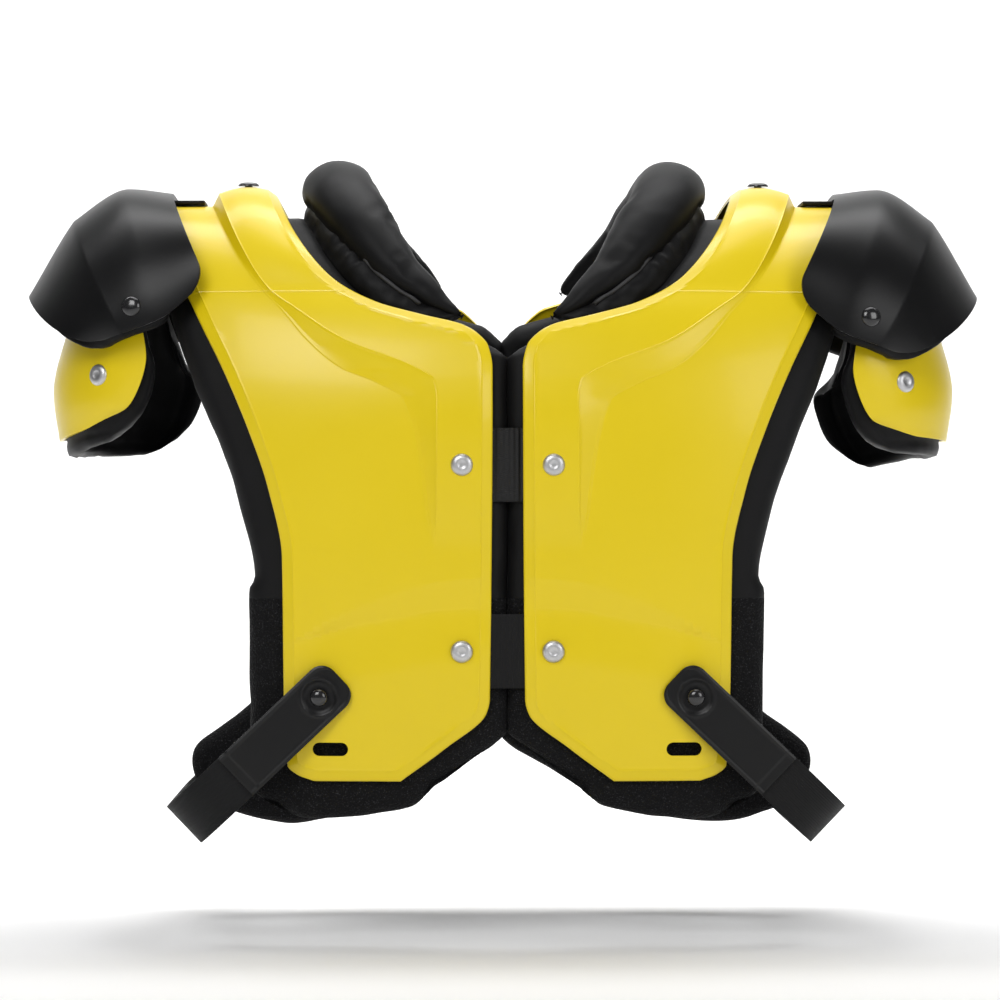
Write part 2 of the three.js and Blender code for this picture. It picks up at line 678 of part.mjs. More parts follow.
// Belt frame: p runs down and outwards along the belt, w across it
function beltFrame(side) {
  const angle = THREE.MathUtils.degToRad(beltSlope);
  const along = new THREE.Vector3(side * Math.cos(angle), 0, -Math.sin(angle));
  const across = new THREE.Vector3(side * Math.sin(angle), 0, Math.cos(angle));
  const stud = torsoPoint(side * beltOut, beltDrop, FRONT, plateStandoff + plateThickness);
  return { along, across, stud };
}

// Furthest the plate stands out under the flat end of the belt
function beltSeat(side, face) {
  const { along, across, stud } = beltFrame(side);
  const reach = [-beltTongue, 0, beltTongue].flatMap((p) =>
    [-0.5, 0, 0.5].map((w) => {
      const x = stud.x + along.x * p + across.x * w * beltWidth;
      const z = stud.z + along.z * p + across.z * w * beltWidth;
      const drop = linerThickness + plateStandoff + plateThickness - z;
      return Math.abs(torsoPoint(x, drop, face, plateStandoff + plateThickness).y);
    }),
  );
  return Math.max(...reach) + seatGap;
}

// Places a shape drawn in belt coordinates and extruded across or through the belt
function inBeltFrame(side, geometry, axes) {
  const { stud } = beltFrame(side);
  const matrix = new THREE.Matrix4().makeBasis(...axes).setPosition(stud.x, 0, stud.z);
  return outward(mergeVertices(bareOf(geometry.applyMatrix4(matrix)), weld));
}

function bareOf(geometry) {
  geometry.deleteAttribute("normal");
  geometry.deleteAttribute("uv");
  return geometry;
}

function beltStrapGeometry(side) {
  const { along, across } = beltFrame(side);
  const half = beltWidth / 2;
  const corner = beltTongue * beltCorner;
  const outline = new THREE.Shape();
  outline.moveTo(beltStrapLength, -half);
  outline.lineTo(beltStrapLength, half);
  outline.lineTo(-beltTongue + corner, half);
  outline.quadraticCurveTo(-beltTongue, half, -beltTongue, half - corner);
  outline.lineTo(-beltTongue, -half + corner);
  outline.quadraticCurveTo(-beltTongue, -half, -beltTongue + corner, -half);
  outline.closePath();
  outline.holes.push(circlePath(rivetShankRadius + rivetHoleGap));
  const geometry = new THREE.ExtrudeGeometry(outline, {
    depth: beltThickness,
    bevelEnabled: false,
    curveSegments: curveSteps,
  });
  geometry.translate(0, 0, beltSeat(side, FRONT));
  return inBeltFrame(side, geometry, [along, across, new THREE.Vector3(0, -1, 0)]);
}

function circlePath(radius) {
  const path = new THREE.Path();
  path.absarc(0, 0, radius, 0, 2 * Math.PI, true);
  return path;
}

// The elastic's outline in the plane of the loop: p outwards, q towards the back
function beltLoopShape(front, back, thickness) {
  const frontCentre = beltReach - beltBend;
  const backCentre = beltReach - beltBackBend;
  const arc = (centre, radius, from, to, q) =>
    Array.from({ length: beltSegments + 1 }, (_, n) => {
      const angle = mix(from, to, n / beltSegments);
      return new THREE.Vector2(centre + radius * Math.cos(angle), q + radius * Math.sin(angle));
    });
  const quarter = Math.PI / 2;
  const start = beltStrapLength - beltLap;
  const frontBend = -front + beltBend;
  const backBend = back - beltBackBend;
  return new THREE.Shape([
    new THREE.Vector2(start, -front),
    ...arc(frontCentre, beltBend, -quarter, 0, frontBend),
    ...arc(backCentre, beltBackBend, 0, quarter, backBend),
    new THREE.Vector2(-beltTongue, back),
    new THREE.Vector2(-beltTongue, back - thickness),
    ...arc(backCentre, beltBackBend - thickness, quarter, 0, backBend),
    ...arc(frontCentre, beltBend - thickness, 0, -quarter, frontBend),
    new THREE.Vector2(start, -front + thickness),
  ]);
}

function beltElasticGeometry(side) {
  const { along, across } = beltFrame(side);
  const front = beltSeat(side, FRONT) - seatGap;
  const back = beltSeat(side, BACK) + elasticThickness;
  const geometry = new THREE.ExtrudeGeometry(beltLoopShape(front, back, elasticThickness), {
    depth: beltWidth,
    bevelEnabled: false,
  });
  geometry.translate(0, 0, -beltWidth / 2);
  return inBeltFrame(side, geometry, [along, new THREE.Vector3(0, 1, 0), across]);
}

// A rivet as a body of revolution: head, shank and clenched inner flange. Its axis starts under its head.
function rivetGeometry(headRadius, headHeight, grip) {
  const dome = [
    [headRadius, 0],
    [headRadius * rivetShoulder.reach, headHeight * rivetShoulder.rise],
    [0, headHeight],
  ];
  const profile = [
    [0, -grip - rivetFlange],
    [rivetFlangeRadius, -grip - rivetFlange],
    [rivetFlangeRadius, -grip],
    [rivetShankRadius, -grip],
    [rivetShankRadius, 0],
    ...dome,
  ].map(([radius, height]) => new THREE.Vector2(radius, height));
  return bareOf(new THREE.LatheGeometry(profile, roundSides));
}

// Cylinder along a direction, for a rivet's hole
function holeTool(point, normal, length) {
  const tool = new THREE.CylinderGeometry(
    rivetShankRadius + rivetHoleGap,
    rivetShankRadius + rivetHoleGap,
    length,
    roundSides,
  );
  return aimed(tool, point, normal);
}

function aimed(geometry, point, normal) {
  const turn = new THREE.Quaternion().setFromUnitVectors(new THREE.Vector3(0, 1, 0), normal);
  return geometry.applyQuaternion(turn).translate(point.x, point.y, point.z);
}

function slotTool(side) {
  const radius = slotHeight / 2;
  const half = slotLength / 2 - radius;
  const outline = new THREE.Shape();
  outline.moveTo(-half, -radius);
  outline.absarc(half, 0, radius, -Math.PI / 2, Math.PI / 2, false);
  outline.absarc(-half, 0, radius, Math.PI / 2, (3 * Math.PI) / 2, false);
  const reach = 2 * (plateThickness + waistTuck);
  const tool = new THREE.ExtrudeGeometry(outline, {
    depth: reach,
    bevelEnabled: false,
    curveSegments: curveSteps,
  });
  const centre = torsoPoint(side * slotOut, slotDrop, FRONT, plateStandoff);
  tool.translate(0, 0, -reach / 2).rotateX(Math.PI / 2);
  return tool.translate(centre.x, centre.y, centre.z);
}

// Scene graph
const pads = new THREE.Group();
const material = (finish) => new THREE.MeshStandardMaterial(finish);

function add(name, geometry, finish) {
  const mesh = new THREE.Mesh(geometry, material(finish));
  mesh.name = name;
  pads.add(mesh);
  return mesh;
}

// A rivet is placed by its own position and turn, with its head outwards
function addRivet(name, point, normal, head, grip, finish) {
  const mesh = add(name, rivetGeometry(head.radius, head.height, grip), finish);
  mesh.position.copy(point);
  mesh.quaternion.setFromUnitVectors(new THREE.Vector3(0, 1, 0), normal);
  return mesh;
}

const rivetHead = { radius: rivetHeadRadius, height: rivetHeadHeight };
const buttonHead = { radius: buttonRadius, height: buttonHeight };
const beltHead = { radius: beltStudRadius, height: beltStudHeight };

const elasticRivets = [
  { face: FRONT, place: "chest", level: "upper", drop: upperElasticDrop },
  { face: FRONT, place: "chest", level: "lower", drop: lowerElasticDrop },
  { face: BACK, place: "back", level: "upper", drop: upperElasticDrop },
  { face: BACK, place: "back", level: "lower", drop: lowerElasticDrop },
];
const elasticRivetPlace = (side, row) => {
  const plateFace = plateStandoff + plateThickness;
  const share = row.drop / (row.face === FRONT ? chestLength : backLength);
  const relief = reliefOver(elasticRivetOut, share, row.face);
  return {
    point: torsoPoint(side * elasticRivetOut, row.drop, row.face, plateFace + relief),
    normal: torsoNormal(side * elasticRivetOut, row.drop, row.face, plateFace),
    relief,
  };
};

function addSide(side, word) {
  const plateFace = plateStandoff + plateThickness;
  const drill = 4 * plateThickness;
  const beltPlaces = [FRONT, BACK].map((face) => {
    const { stud } = beltFrame(side);
    const thickness = face === FRONT ? beltThickness : elasticThickness;
    const outside = beltSeat(side, face) + thickness;
    const under = (way) => torsoPoint(stud.x + way * rivetFlangeRadius, beltDrop, face, plateStandoff);
    const inside = Math.min(...[-1, 0, 1].map((way) => Math.abs(under(way).y)));
    const point = new THREE.Vector3(stud.x, -face * outside, stud.z);
    return { face, point, normal: new THREE.Vector3(0, -face, 0), grip: outside - inside + 2 * seatGap };
  });
  const bridgeX = (plateReach * (stepLines[0].crest + neckEdge[0].reach)) / 2;
  const bridgeHalfWidth = (plateReach * (stepLines[0].crest - neckEdge[0].reach)) / 2;
  const bridgeDip = (2 * bridgeCrown * rivetFlangeRadius) / bridgeHalfWidth;
  const bridgeTop = linerThickness + plateFace + bridgeRise + bridgeCrown;
  const bridgePlace = {
    point: new THREE.Vector3(side * bridgeX, 0, bridgeTop),
    normal: new THREE.Vector3(0, 0, 1),
  };

  const plateTools = [
    ...elasticRivets
      .map((row) => elasticRivetPlace(side, row))
      .map((place) => holeTool(place.point, place.normal, drill)),
    ...beltPlaces.map((place) => holeTool(place.point, place.normal, 2 * drill)),
    holeTool(bridgePlace.point, bridgePlace.normal, drill),
    slotTool(side),
  ];
  add(word + "_body_plate", cut(plateGeometry(side), plateTools), yellowPlastic);
  add(word + "_front_pad", linerGeometry(side, FRONT), blackCloth);
  add(word + "_back_pad", linerGeometry(side, BACK), blackCloth);
  add(word + "_neck_roll", neckRollGeometry(side), blackCloth);
  add(word + "_shoulder_webbing", webbingGeometry(side), blackElastic);

  const epauletPlaces = [-1, 1].map((end) => capFacet(epaulet, side, epauletRivet, end));
  const cupPlaces = [-1, 1].map((end) => capFacet(cup, side, cupRivet, end));
  const holes = (places) => places.map((place) => holeTool(place.point, place.normal, drill));
  const epauletShell = capGeometry(epaulet, side, epauletThickness);
  const cupShell = capGeometry(cup, side, cupThickness);
  add(word + "_epaulet", cut(epauletShell, holes(epauletPlaces)), blackPlastic);
  add(word + "_shoulder_cup", cut(cupShell, holes(cupPlaces)), yellowPlastic);
  const behind = rivetFlange + 3 * seatGap;
  const epauletPadReach = { edge: epauletPadEdge, front: epauletPadPast, rear: epauletPadPast, hang: 0 };
  const cupPadReach = { edge: cupPadEdge, front: cupPadPast, rear: cupPadRear, hang: cupPadHang };
  const underEpaulet = epauletThickness + behind + epauletPadEase;
  const underCup = cupThickness + behind + cupPadEase;
  const flapPad = padGeometry(epaulet, side, underEpaulet, epauletPadThickness, epauletPadStart, epauletPadReach);
  const cupPad = padGeometry(cup, side, underCup, cupPadThickness, cupPadStart, cupPadReach);
  add(word + "_epaulet_pad", flapPad, blackCloth);
  add(word + "_cup_pad", cupPad, blackCloth);

  add(word + "_belt_strap", beltStrapGeometry(side), blackPlastic);
  const beltBack = beltPlaces[1];
  const elasticHole = holeTool(beltBack.point, beltBack.normal, drill);
  add(word + "_belt_elastic", cut(beltElasticGeometry(side), [elasticHole]), blackElastic);

  elasticRivets.forEach((row) => {
    const { point, normal, relief } = elasticRivetPlace(side, row);
    const grip = relief + plateThickness + elasticThickness + 3 * seatGap;
    addRivet(
      [word, row.place, "rivet", row.level].join("_"),
      point.addScaledVector(normal, seatGap),
      normal,
      rivetHead,
      grip,
      steel,
    );
  });
  addRivet(
    word + "_bridge_rivet",
    bridgePlace.point.clone().addScaledVector(bridgePlace.normal, seatGap),
    bridgePlace.normal,
    rivetHead,
    plateThickness + 2 * seatGap + bridgeDip,
    blackSteel,
  );
  ["front", "back"].forEach((end, n) => {
    const cap = epauletPlaces[n];
    addRivet(
      [word, "epaulet_button", end].join("_"),
      cap.point.clone().addScaledVector(cap.normal, seatGap),
      cap.normal,
      buttonHead,
      epauletThickness + 2 * seatGap,
      blackSteel,
    );
    const shell = cupPlaces[n];
    addRivet(
      [word, "cup_rivet", end].join("_"),
      shell.point.clone().addScaledVector(shell.normal, seatGap),
      shell.normal,
      rivetHead,
      cupThickness + 2 * seatGap,
      steel,
    );
    const belt = beltPlaces[n];
    addRivet(
      [word, "belt_stud", end].join("_"),
      belt.point.clone().addScaledVector(belt.normal, seatGap),
      belt.normal,
      beltHead,
      belt.grip,
      blackSteel,
    );
  });
}

addSide(-1, "left");
addSide(1, "right");

elasticRivets.forEach((row) => {
  const places = [-1, 1].map((side) => elasticRivetPlace(side, row));
  const tools = places.map((place) => holeTool(place.point, place.normal, 8 * plateThickness));
  const band = cut(elasticGeometry(row.drop, row.face), tools);
  add([row.place, "elastic", row.level].join("_"), band, blackElastic);
});

export default pads;
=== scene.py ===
import logging
import math
from dataclasses import dataclass, field
from enum import Enum

import bmesh
import bpy
import numpy as np
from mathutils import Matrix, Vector, noise


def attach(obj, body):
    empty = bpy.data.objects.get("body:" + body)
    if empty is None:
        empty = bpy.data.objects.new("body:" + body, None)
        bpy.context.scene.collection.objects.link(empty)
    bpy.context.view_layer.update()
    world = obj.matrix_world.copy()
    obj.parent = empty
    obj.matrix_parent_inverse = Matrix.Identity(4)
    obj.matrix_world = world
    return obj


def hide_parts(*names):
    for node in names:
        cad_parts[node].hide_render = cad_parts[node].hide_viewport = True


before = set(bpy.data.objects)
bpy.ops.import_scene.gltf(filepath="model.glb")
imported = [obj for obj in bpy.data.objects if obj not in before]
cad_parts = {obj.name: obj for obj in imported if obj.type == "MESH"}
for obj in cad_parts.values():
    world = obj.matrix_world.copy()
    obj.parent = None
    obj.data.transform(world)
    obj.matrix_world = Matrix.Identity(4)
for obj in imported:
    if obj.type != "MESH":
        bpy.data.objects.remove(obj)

log = logging.getLogger("shoulder_pads")

Creases = dict[int, float] | None
Rows = list[tuple[float, ...]]
Socket = bpy.types.NodeSocket

MM = 0.001
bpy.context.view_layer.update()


class Face(Enum):
    """Front or back of the pads."""

    FRONT = 1
    BACK = -1


class Side(Enum):
    """Half of the pads, as seen from the front."""

    LEFT = -1
    RIGHT = 1

    @property
    def word(self) -> str:
        """Prefix of the half's node names."""
        return self.name.lower()


# Sizes, in millimetres


@dataclass(frozen=True)
class Sizes:
    """Driving dimensions, the same as the solid parts have."""

    seat_gap: float = 0.3
    centre_gap: float = 1.2
    chest_depth: float = 128
    back_depth: float = 118
    torso_half_width: float = 253
    plan_power: float = 2.6
    shoulder_fall: float = 143
    fall_power: float = 2.2
    waist_tuck: float = 9
    liner: float = 18
    plate: float = 3.2
    elastic: float = 2
    flange: float = 1.2
    plate_reach: float = 208
    chest_length: float = 348
    back_length: float = 370
    bridge_rise: float = 8
    bridge_crown: float = 4
    armhole_border: float = 18
    neck_border: float = 21.2
    border_power: float = 0.35
    centre_border: float = 8
    hem_border: float = 22
    back_lobe: float = 40
    back_hem_rise: float = 14
    front_hem_rise: float = 12
    hem_round: float = 3
    elastic_width: float = 44
    elastic_half_length: float = 40
    upper_elastic_drop: float = 161
    lower_elastic_drop: float = 271
    slot_length: float = 21
    slot_height: float = 8
    slot_out: float = 104.5
    slot_drop: float = 329
    roll_radius: float = 25
    roll_flat: float = 0.84
    roll_back_reach: float = 0.62
    belt_width: float = 30
    belt_thickness: float = 2.5
    belt_out: float = 111
    belt_drop: float = 298
    belt_slope: float = 43.6
    belt_tongue: float = 17
    belt_strap_length: float = 68
    belt_lap: float = 20
    belt_reach: float = 113
    belt_bend: float = 40
    belt_back_bend: float = 24
    webbing_width: float = 38
    webbing: float = 2
    webbing_inner: float = 184
    webbing_dip: float = 3.4
    webbing_bend: float = 4

    @property
    def standoff(self) -> float:
        """Height of the plate's underside above the liner."""
        return self.elastic + self.flange + 3 * self.seat_gap

    def length(self, face: Face) -> float:
        """Length of the plate down one face."""
        return self.chest_length if face is Face.FRONT else self.back_length

    def liner_drop(self, share: np.ndarray, face: Face, rise: np.ndarray | float) -> np.ndarray:
        """Drop below the ridge of a share of the liner's length, with its hem raised."""
        start = self.centre_gap / 4
        return start + (self.length(face) + self.hem_border - rise - start) * share


S = Sizes()


class Curve:
    """Smooth curve through table rows that never overshoots, with optional creases."""

    def __init__(self, keys: list[float], values: list[float], sharp: Creases = None) -> None:
        """Store the rows and work out the slope on both sides of each.

        Args:
            keys: First column of the table.
            values: Column that the curve runs through.
            sharp: Rows with a crease, and how sharp it is.
        """
        self.keys = np.array(keys, float)
        self.values = np.array(values, float)
        slopes = np.diff(self.values) / np.diff(self.keys)
        count = len(keys)
        self.leaving = np.zeros(count)
        self.arriving = np.zeros(count)
        for n in range(count):
            before = slopes[n - 1] if n > 0 else slopes[0]
            after = slopes[n] if n < count - 1 else slopes[-1]
            even = 0.0 if before * after <= 0 else 2 * before * after / (before + after)
            crease = (sharp or {}).get(n, 0.0)
            self.arriving[n] = even + (before - even) * crease
            self.leaving[n] = even + (after - even) * crease

    def __call__(self, at: np.ndarray | float) -> np.ndarray:
        """Value at a place, held at the table's ends.

        Args:
            at: Places by the first column.

        Returns:
            The values.
        """
        at = np.clip(np.asarray(at, float), self.keys[0], self.keys[-1])
        i = np.clip(np.searchsorted(self.keys, at, side="right") - 1, 0, len(self.keys) - 2)
        span = self.keys[i + 1] - self.keys[i]
        t = (at - self.keys[i]) / span
        rise = self.values[i + 1] - self.values[i]
        a = self.leaving[i] * span
        b = self.arriving[i + 1] * span
        return self.values[i] + a * t + (3 * rise - 2 * a - b) * t**2 + (a + b - 2 * rise) * t**3


def curves(names: str, rows: Rows, sharp: Creases = None) -> dict[str, Curve]:
    """Make one curve for each named column of a table.

    Args:
        names: Column names, the first of them the key.
        rows: The table's rows.
        sharp: Rows at which the curves are creased, and how sharply from 0 to 1.

    Returns:
        The curves by column name.
    """
    columns = list(zip(*rows))
    words = names.split()
    return {word: Curve(columns[0], columns[n], sharp) for n, word in enumerate(words) if n > 0}


ARMHOLE = curves(
    "drop reach",
    [(0, 1), (0.1, 0.962), (0.2, 0.889), (0.3, 0.808), (0.405, 0.735), (0.506, 0.678), (0.62, 0.64),
     (0.86, 0.635), (0.974, 0.625), (0.99, 0.596), (1, 0.55)],
)["reach"]
NECK = curves(
    "drop reach",
    [(0, 0.671), (0.066, 0.61), (0.138, 0.505), (0.184, 0.37), (0.207, 0.24), (0.224, 0.13), (0.24, 0.085),
     (0.262, 0.055), (0.3, 0.043), (0.86, 0.05), (0.885, 0.06), (0.945, 0.178), (1, 0.303)],
)["reach"]
STEP = curves(
    "drop foot crest rise",
    [(0, 0.865, 0.846, 1), (0.1, 0.775, 0.758, 0.5), (0.164, 0.697, 0.68, 0.2), (0.2, 0.639, 0.6, 0.3),
     (0.253, 0.563, 0.466, 0.45), (0.3, 0.466, 0.27, 0.6), (0.322, 0.375, 0.212, 0.66),
     (0.354, 0.288, 0.202, 0.66), (0.44, 0.25, 0.202, 0.5), (0.523, 0.231, 0.202, 0.28),
     (0.61, 0.216, 0.211, 0), (1, 0.45, 0.44, 0)],
)
BACK_ARMHOLE = curves(
    "drop reach",
    [(0, 1), (0.2, 0.85), (0.4, 0.665), (0.6, 0.605), (0.8, 0.61), (0.93, 0.68), (0.98, 0.65), (1, 0.6)],
)["reach"]
BACK_NECK = curves(
    "drop reach",
    [(0, 0.671), (0.05, 0.61), (0.1, 0.47), (0.135, 0.28), (0.16, 0.12), (0.2, 0.06), (0.86, 0.06),
     (0.93, 0.24), (1, 0.44)],
)["reach"]
LOBE = curves(
    "drop swing", [(0.76, 0), (0.82, 0.6), (0.88, 1), (0.93, 0.86), (0.97, 0.66), (1, 0.4)]
)["swing"]
ROLL = curves(
    "drop inward lift radius",
    [(0, 0.7, 1, 0.96), (0.03, 0.78, 0.92, 0.92), (0.066, 0.86, 0.86, 0.86), (0.103, 0.88, 0.76, 0.74),
     (0.138, 0.84, 0.7, 0.6), (0.164, 0.82, 0.64, 0.48), (0.184, 0.68, 0.56, 0.36), (0.2, 0.55, 0.44, 0.2)],
)
ROLL_END = 0.2
EPAULET_SECTIONS = curves(
    "along peak_out peak_up edge_out edge_up deep bow",
    [(0, 0, 0.03, -0.31, 0.63, 1, 0), (1 / 3, 0.3, 0, -0.01, 0.86, 1, 0),
     (2 / 3, 0.67, 0.2, 0.25, 0.95, 0.96, 0.1), (1, 0.978, 0.67, 0.41, 1, 0.84, 1)],
    sharp={2: 0.6},
)
CUP_SECTIONS = curves(
    "along peak_out peak_up edge_out edge_up deep bow",
    [(0, 0, 0, 0, 0.28, 0.86, 0), (0.25, 0.5, 0.08, 0, 0.46, 0.95, 0), (0.5, 0.855, 0.5, -0.05, 0.64, 1, 0),
     (0.75, 1, 0.78, 0.1, 0.84, 0.95, 0), (1, 0.94, 1, 0.33, 0.92, 0.8, 0)],
)
# Lower band of the chest plate: how far down its upper and lower lines lie, by distance from the middle
BAND = curves(
    "out upper lower",
    [(0, 228, 246), (10, 228, 246), (40, 230, 247), (63, 236, 251), (98, 250, 258),
     (126, 266, 266.5), (140, 272, 272.5)],
)
# Shares of a plate's length over which the shoulder bridge and its crown fade out
BRIDGE_FADE = 0.2
CROWN_FADE = 0.16
# Least width of the step's slope, in millimetres, and its place between armhole and neck on the back
STEP_WIDTH = 2.0
BACK_FOOT, BACK_CREST = 0.46, 0.5
LOBE_START = 0.76
# How far the ends of a cap sag, and how far they swing out in front, by half
SAG = {Side.LEFT: 0, Side.RIGHT: 7}
SWING = {Side.LEFT: 3, Side.RIGHT: -4}
BOW_POWER = 1.7
# How much more than elsewhere the front and back ends of a smaller cap draw in
END_INSET = 1.25


def clamp01(value: np.ndarray | float) -> np.ndarray:
    """Hold a value between 0 and 1."""
    return np.clip(value, 0.0, 1.0)


def mix(a: float, b: float, t: np.ndarray | float) -> np.ndarray:
    """Blend from a to b."""
    return a + (b - a) * t


def unit(vectors: np.ndarray) -> np.ndarray:
    """The same directions with length one."""
    return vectors / np.linalg.norm(vectors, axis=-1, keepdims=True)


def bell(value: np.ndarray, middle: np.ndarray | float, half: float, power: int = 2) -> np.ndarray:
    """Bump of height one round a value."""
    return np.exp(-(((value - middle) / half) ** power))


def rounded(gap: np.ndarray, radius: float) -> np.ndarray:
    """Fall of a rounded edge, from 1 at the rim to 0 where the face is flat."""
    return 1 - np.sqrt(np.maximum(0, 1 - (1 - clamp01(gap / radius)) ** 2))


def run_of(points: np.ndarray) -> np.ndarray:
    """Distance along a line of points from its first one."""
    return np.concatenate([[0], np.cumsum(np.linalg.norm(np.diff(points, axis=0), axis=-1))])


def steps_between(stops: Rows) -> np.ndarray:
    """Even steps through stretches given as start, end and count, without the last end."""
    return np.concatenate([np.linspace(a, b, int(n), endpoint=False) for a, b, n in stops])


# Forms shared with the solid parts


def torso(x: np.ndarray, drop: np.ndarray, face: Face, offset: np.ndarray | float) -> np.ndarray:
    """Points on the torso form.

    Args:
        x: Distance from the middle, signed.
        drop: Distance down from the shoulder ridge.
        face: Chest or back.
        offset: Distance outwards from the liner's face.

    Returns:
        Points as an array whose last axis is x, y, z.
    """
    x, drop, offset = np.broadcast_arrays(np.asarray(x, float), drop, offset)
    depth = (S.chest_depth if face is Face.FRONT else S.back_depth) + offset
    plan = (1 - (np.abs(x) / (S.torso_half_width + offset)) ** S.plan_power) ** (1 / S.plan_power)
    fall = S.shoulder_fall + S.standoff + S.plate
    turned = clamp01(drop / fall)
    over = (1 - (1 - turned) ** S.fall_power) ** (1 / S.fall_power)
    past = np.maximum(0, drop - fall)
    below = past / (S.length(face) - fall)
    z = S.liner + offset - turned * (S.shoulder_fall + offset) - past
    return np.stack([x, -face.value * (depth * plan * over - S.waist_tuck * below**2), z], -1)


def plate_lines(share: np.ndarray, face: Face) -> dict[str, np.ndarray]:
    """Distances from the middle of the plate's edges and of its step, down a plate.

    Args:
        share: Shares of the length from the ridge at 0 to the hem at 1.
        face: Chest or back.

    Returns:
        The distances by name.
    """
    ridge = {word: STEP[word](0) * S.plate_reach for word in ("foot", "crest")}
    if face is Face.FRONT:
        foot = STEP["foot"](share) * S.plate_reach
        return {
            "armhole": ARMHOLE(share) * S.plate_reach,
            "foot": foot,
            "crest": np.minimum(STEP["crest"](share) * S.plate_reach, foot - STEP_WIDTH),
            "neck": NECK(share) * S.plate_reach,
        }
    armhole = BACK_ARMHOLE(share) * S.plate_reach
    neck = BACK_NECK(share) * S.plate_reach
    blend = clamp01(share / BRIDGE_FADE)
    return {
        "armhole": armhole,
        "foot": mix(ridge["foot"], mix(armhole, neck, BACK_FOOT), blend),
        "crest": mix(ridge["crest"], mix(armhole, neck, BACK_CREST), blend),
        "neck": neck,
    }


def liner_edges(share: np.ndarray, face: Face) -> tuple[np.ndarray, np.ndarray]:
    """Outer and inner edge of the liner, as distances from the middle.

    Args:
        share: Shares of the length from the ridge at 0 to the hem at 1.
        face: Chest or back.

    Returns:
        Distances of the outer and the inner edge.
    """
    lines = plate_lines(share, face)
    lobe = S.back_lobe * LOBE(share) * (share >= LOBE_START) if face is Face.BACK else 0 * share
    neck_share = clamp01(lines["neck"] / (S.plate_reach * NECK(0)))
    border = mix(S.centre_border, S.neck_border, neck_share**S.border_power)
    inner = np.maximum(S.centre_gap / 2, lines["neck"] - border)
    outer = lines["armhole"] + S.armhole_border * clamp01(0.1 + 3 * share) + lobe
    return outer, inner


@dataclass(frozen=True)
class Cap:
    """Hard cap over the shoulder, by its sections from the inner edge to the rim."""

    sections: dict[str, Curve]
    inner: float
    reach: float
    top: float
    fall: float
    depth: float

    def smaller(self, inset: float) -> "Cap":
        """The same cap, smaller all round."""
        reach, top, fall = (value - inset for value in (self.reach, self.top, self.fall))
        return Cap(self.sections, self.inner, reach, top, fall, self.depth - END_INSET * inset)

    def at(self, side: Side, along: np.ndarray, turn: np.ndarray) -> np.ndarray:
        """Points on the cap, along from its inner edge to its rim, turn in degrees.

        Args:
            side: The half.
            along: Places from the inner edge at 0 to the rim at 1.
            turn: Turns in degrees, -90 at the front end and 90 at the back end.

        Returns:
            The points, last axis x, y, z.
        """
        section = {word: curve(along) for word, curve in self.sections.items()}
        angle = np.radians(turn)
        near = 1 - np.cos(angle)
        fallen = mix(near, np.abs(np.sin(angle)) ** BOW_POWER, section["bow"])
        out = self.inner + self.reach * mix(section["peak_out"], section["edge_out"], near)
        up = self.top - self.fall * mix(section["peak_up"], section["edge_up"], fallen)
        y = self.depth * section["deep"] * np.sin(angle)
        out = out + SWING[side] * near * np.sign(-turn)
        return np.stack([side.value * out, y, up - SAG[side] * near], -1)

    def inwards(self, side: Side, along: np.ndarray, turn: np.ndarray) -> np.ndarray:
        """Unit vectors into the cap.

        Args:
            side: The half.
            along: Places from the inner edge at 0 to the rim at 1.
            turn: Turns in degrees, -90 at the front end and 90 at the back end.

        Returns:
            The vectors, last axis x, y, z.
        """
        step = 0.01
        safe = np.clip(along, step, 1 - step)
        across = self.at(side, safe + step, turn) - self.at(side, safe - step, turn)
        round_ = self.at(side, safe, turn + 1) - self.at(side, safe, turn - 1)
        return unit(-side.value * np.cross(across, round_))


EPAULET = Cap(EPAULET_SECTIONS, 204, 91, 35.6, 98, 104)
CUP = Cap(CUP_SECTIONS, 216, 62, 18.6, 139, 82)
CAP_WALL = 3.0
EPAULET_PAD_DEPTH = CAP_WALL + S.flange + 3 * S.seat_gap + 0.2
EPAULET_PAD = 5.0
CUP_PAD_DEPTH = CAP_WALL + S.flange + 3 * S.seat_gap + 1.3
CUP_PAD = 9.0


# Mesh helpers

# Distance in metres below which points are one, and the angle in degrees above which an edge stays crisp
WELD = 2e-5
CRISP = 32


def grid_faces(rows: int, columns: int, start: int, flip: bool) -> list[tuple[int, int, int, int]]:
    """Quads of a grid of points that is numbered row by row.

    Args:
        rows: Number of rows.
        columns: Number of columns.
        start: Number of the first point.
        flip: Whether the quads face the other way.

    Returns:
        The quads by their points' numbers.
    """
    quads = []
    for r in range(rows - 1):
        for c in range(columns - 1):
            a = start + r * columns + c
            quad = (a, a + 1, a + columns + 1, a + columns)
            quads.append(quad[::-1] if flip else quad)
    return quads


def new_object(name: str, points: np.ndarray, faces: list[tuple[int, ...]]) -> bpy.types.Object:
    """Mesh object in the scene from points in millimetres.

    Args:
        name: Name of the object.
        points: Points in millimetres.
        faces: Numbers of the points of each face.

    Returns:
        The object.
    """
    mesh = bpy.data.meshes.new(name)
    mesh.from_pydata((np.asarray(points).reshape(-1, 3) * MM).tolist(), [], faces)
    obj = bpy.data.objects.new(name, mesh)
    bpy.context.collection.objects.link(obj)
    return obj


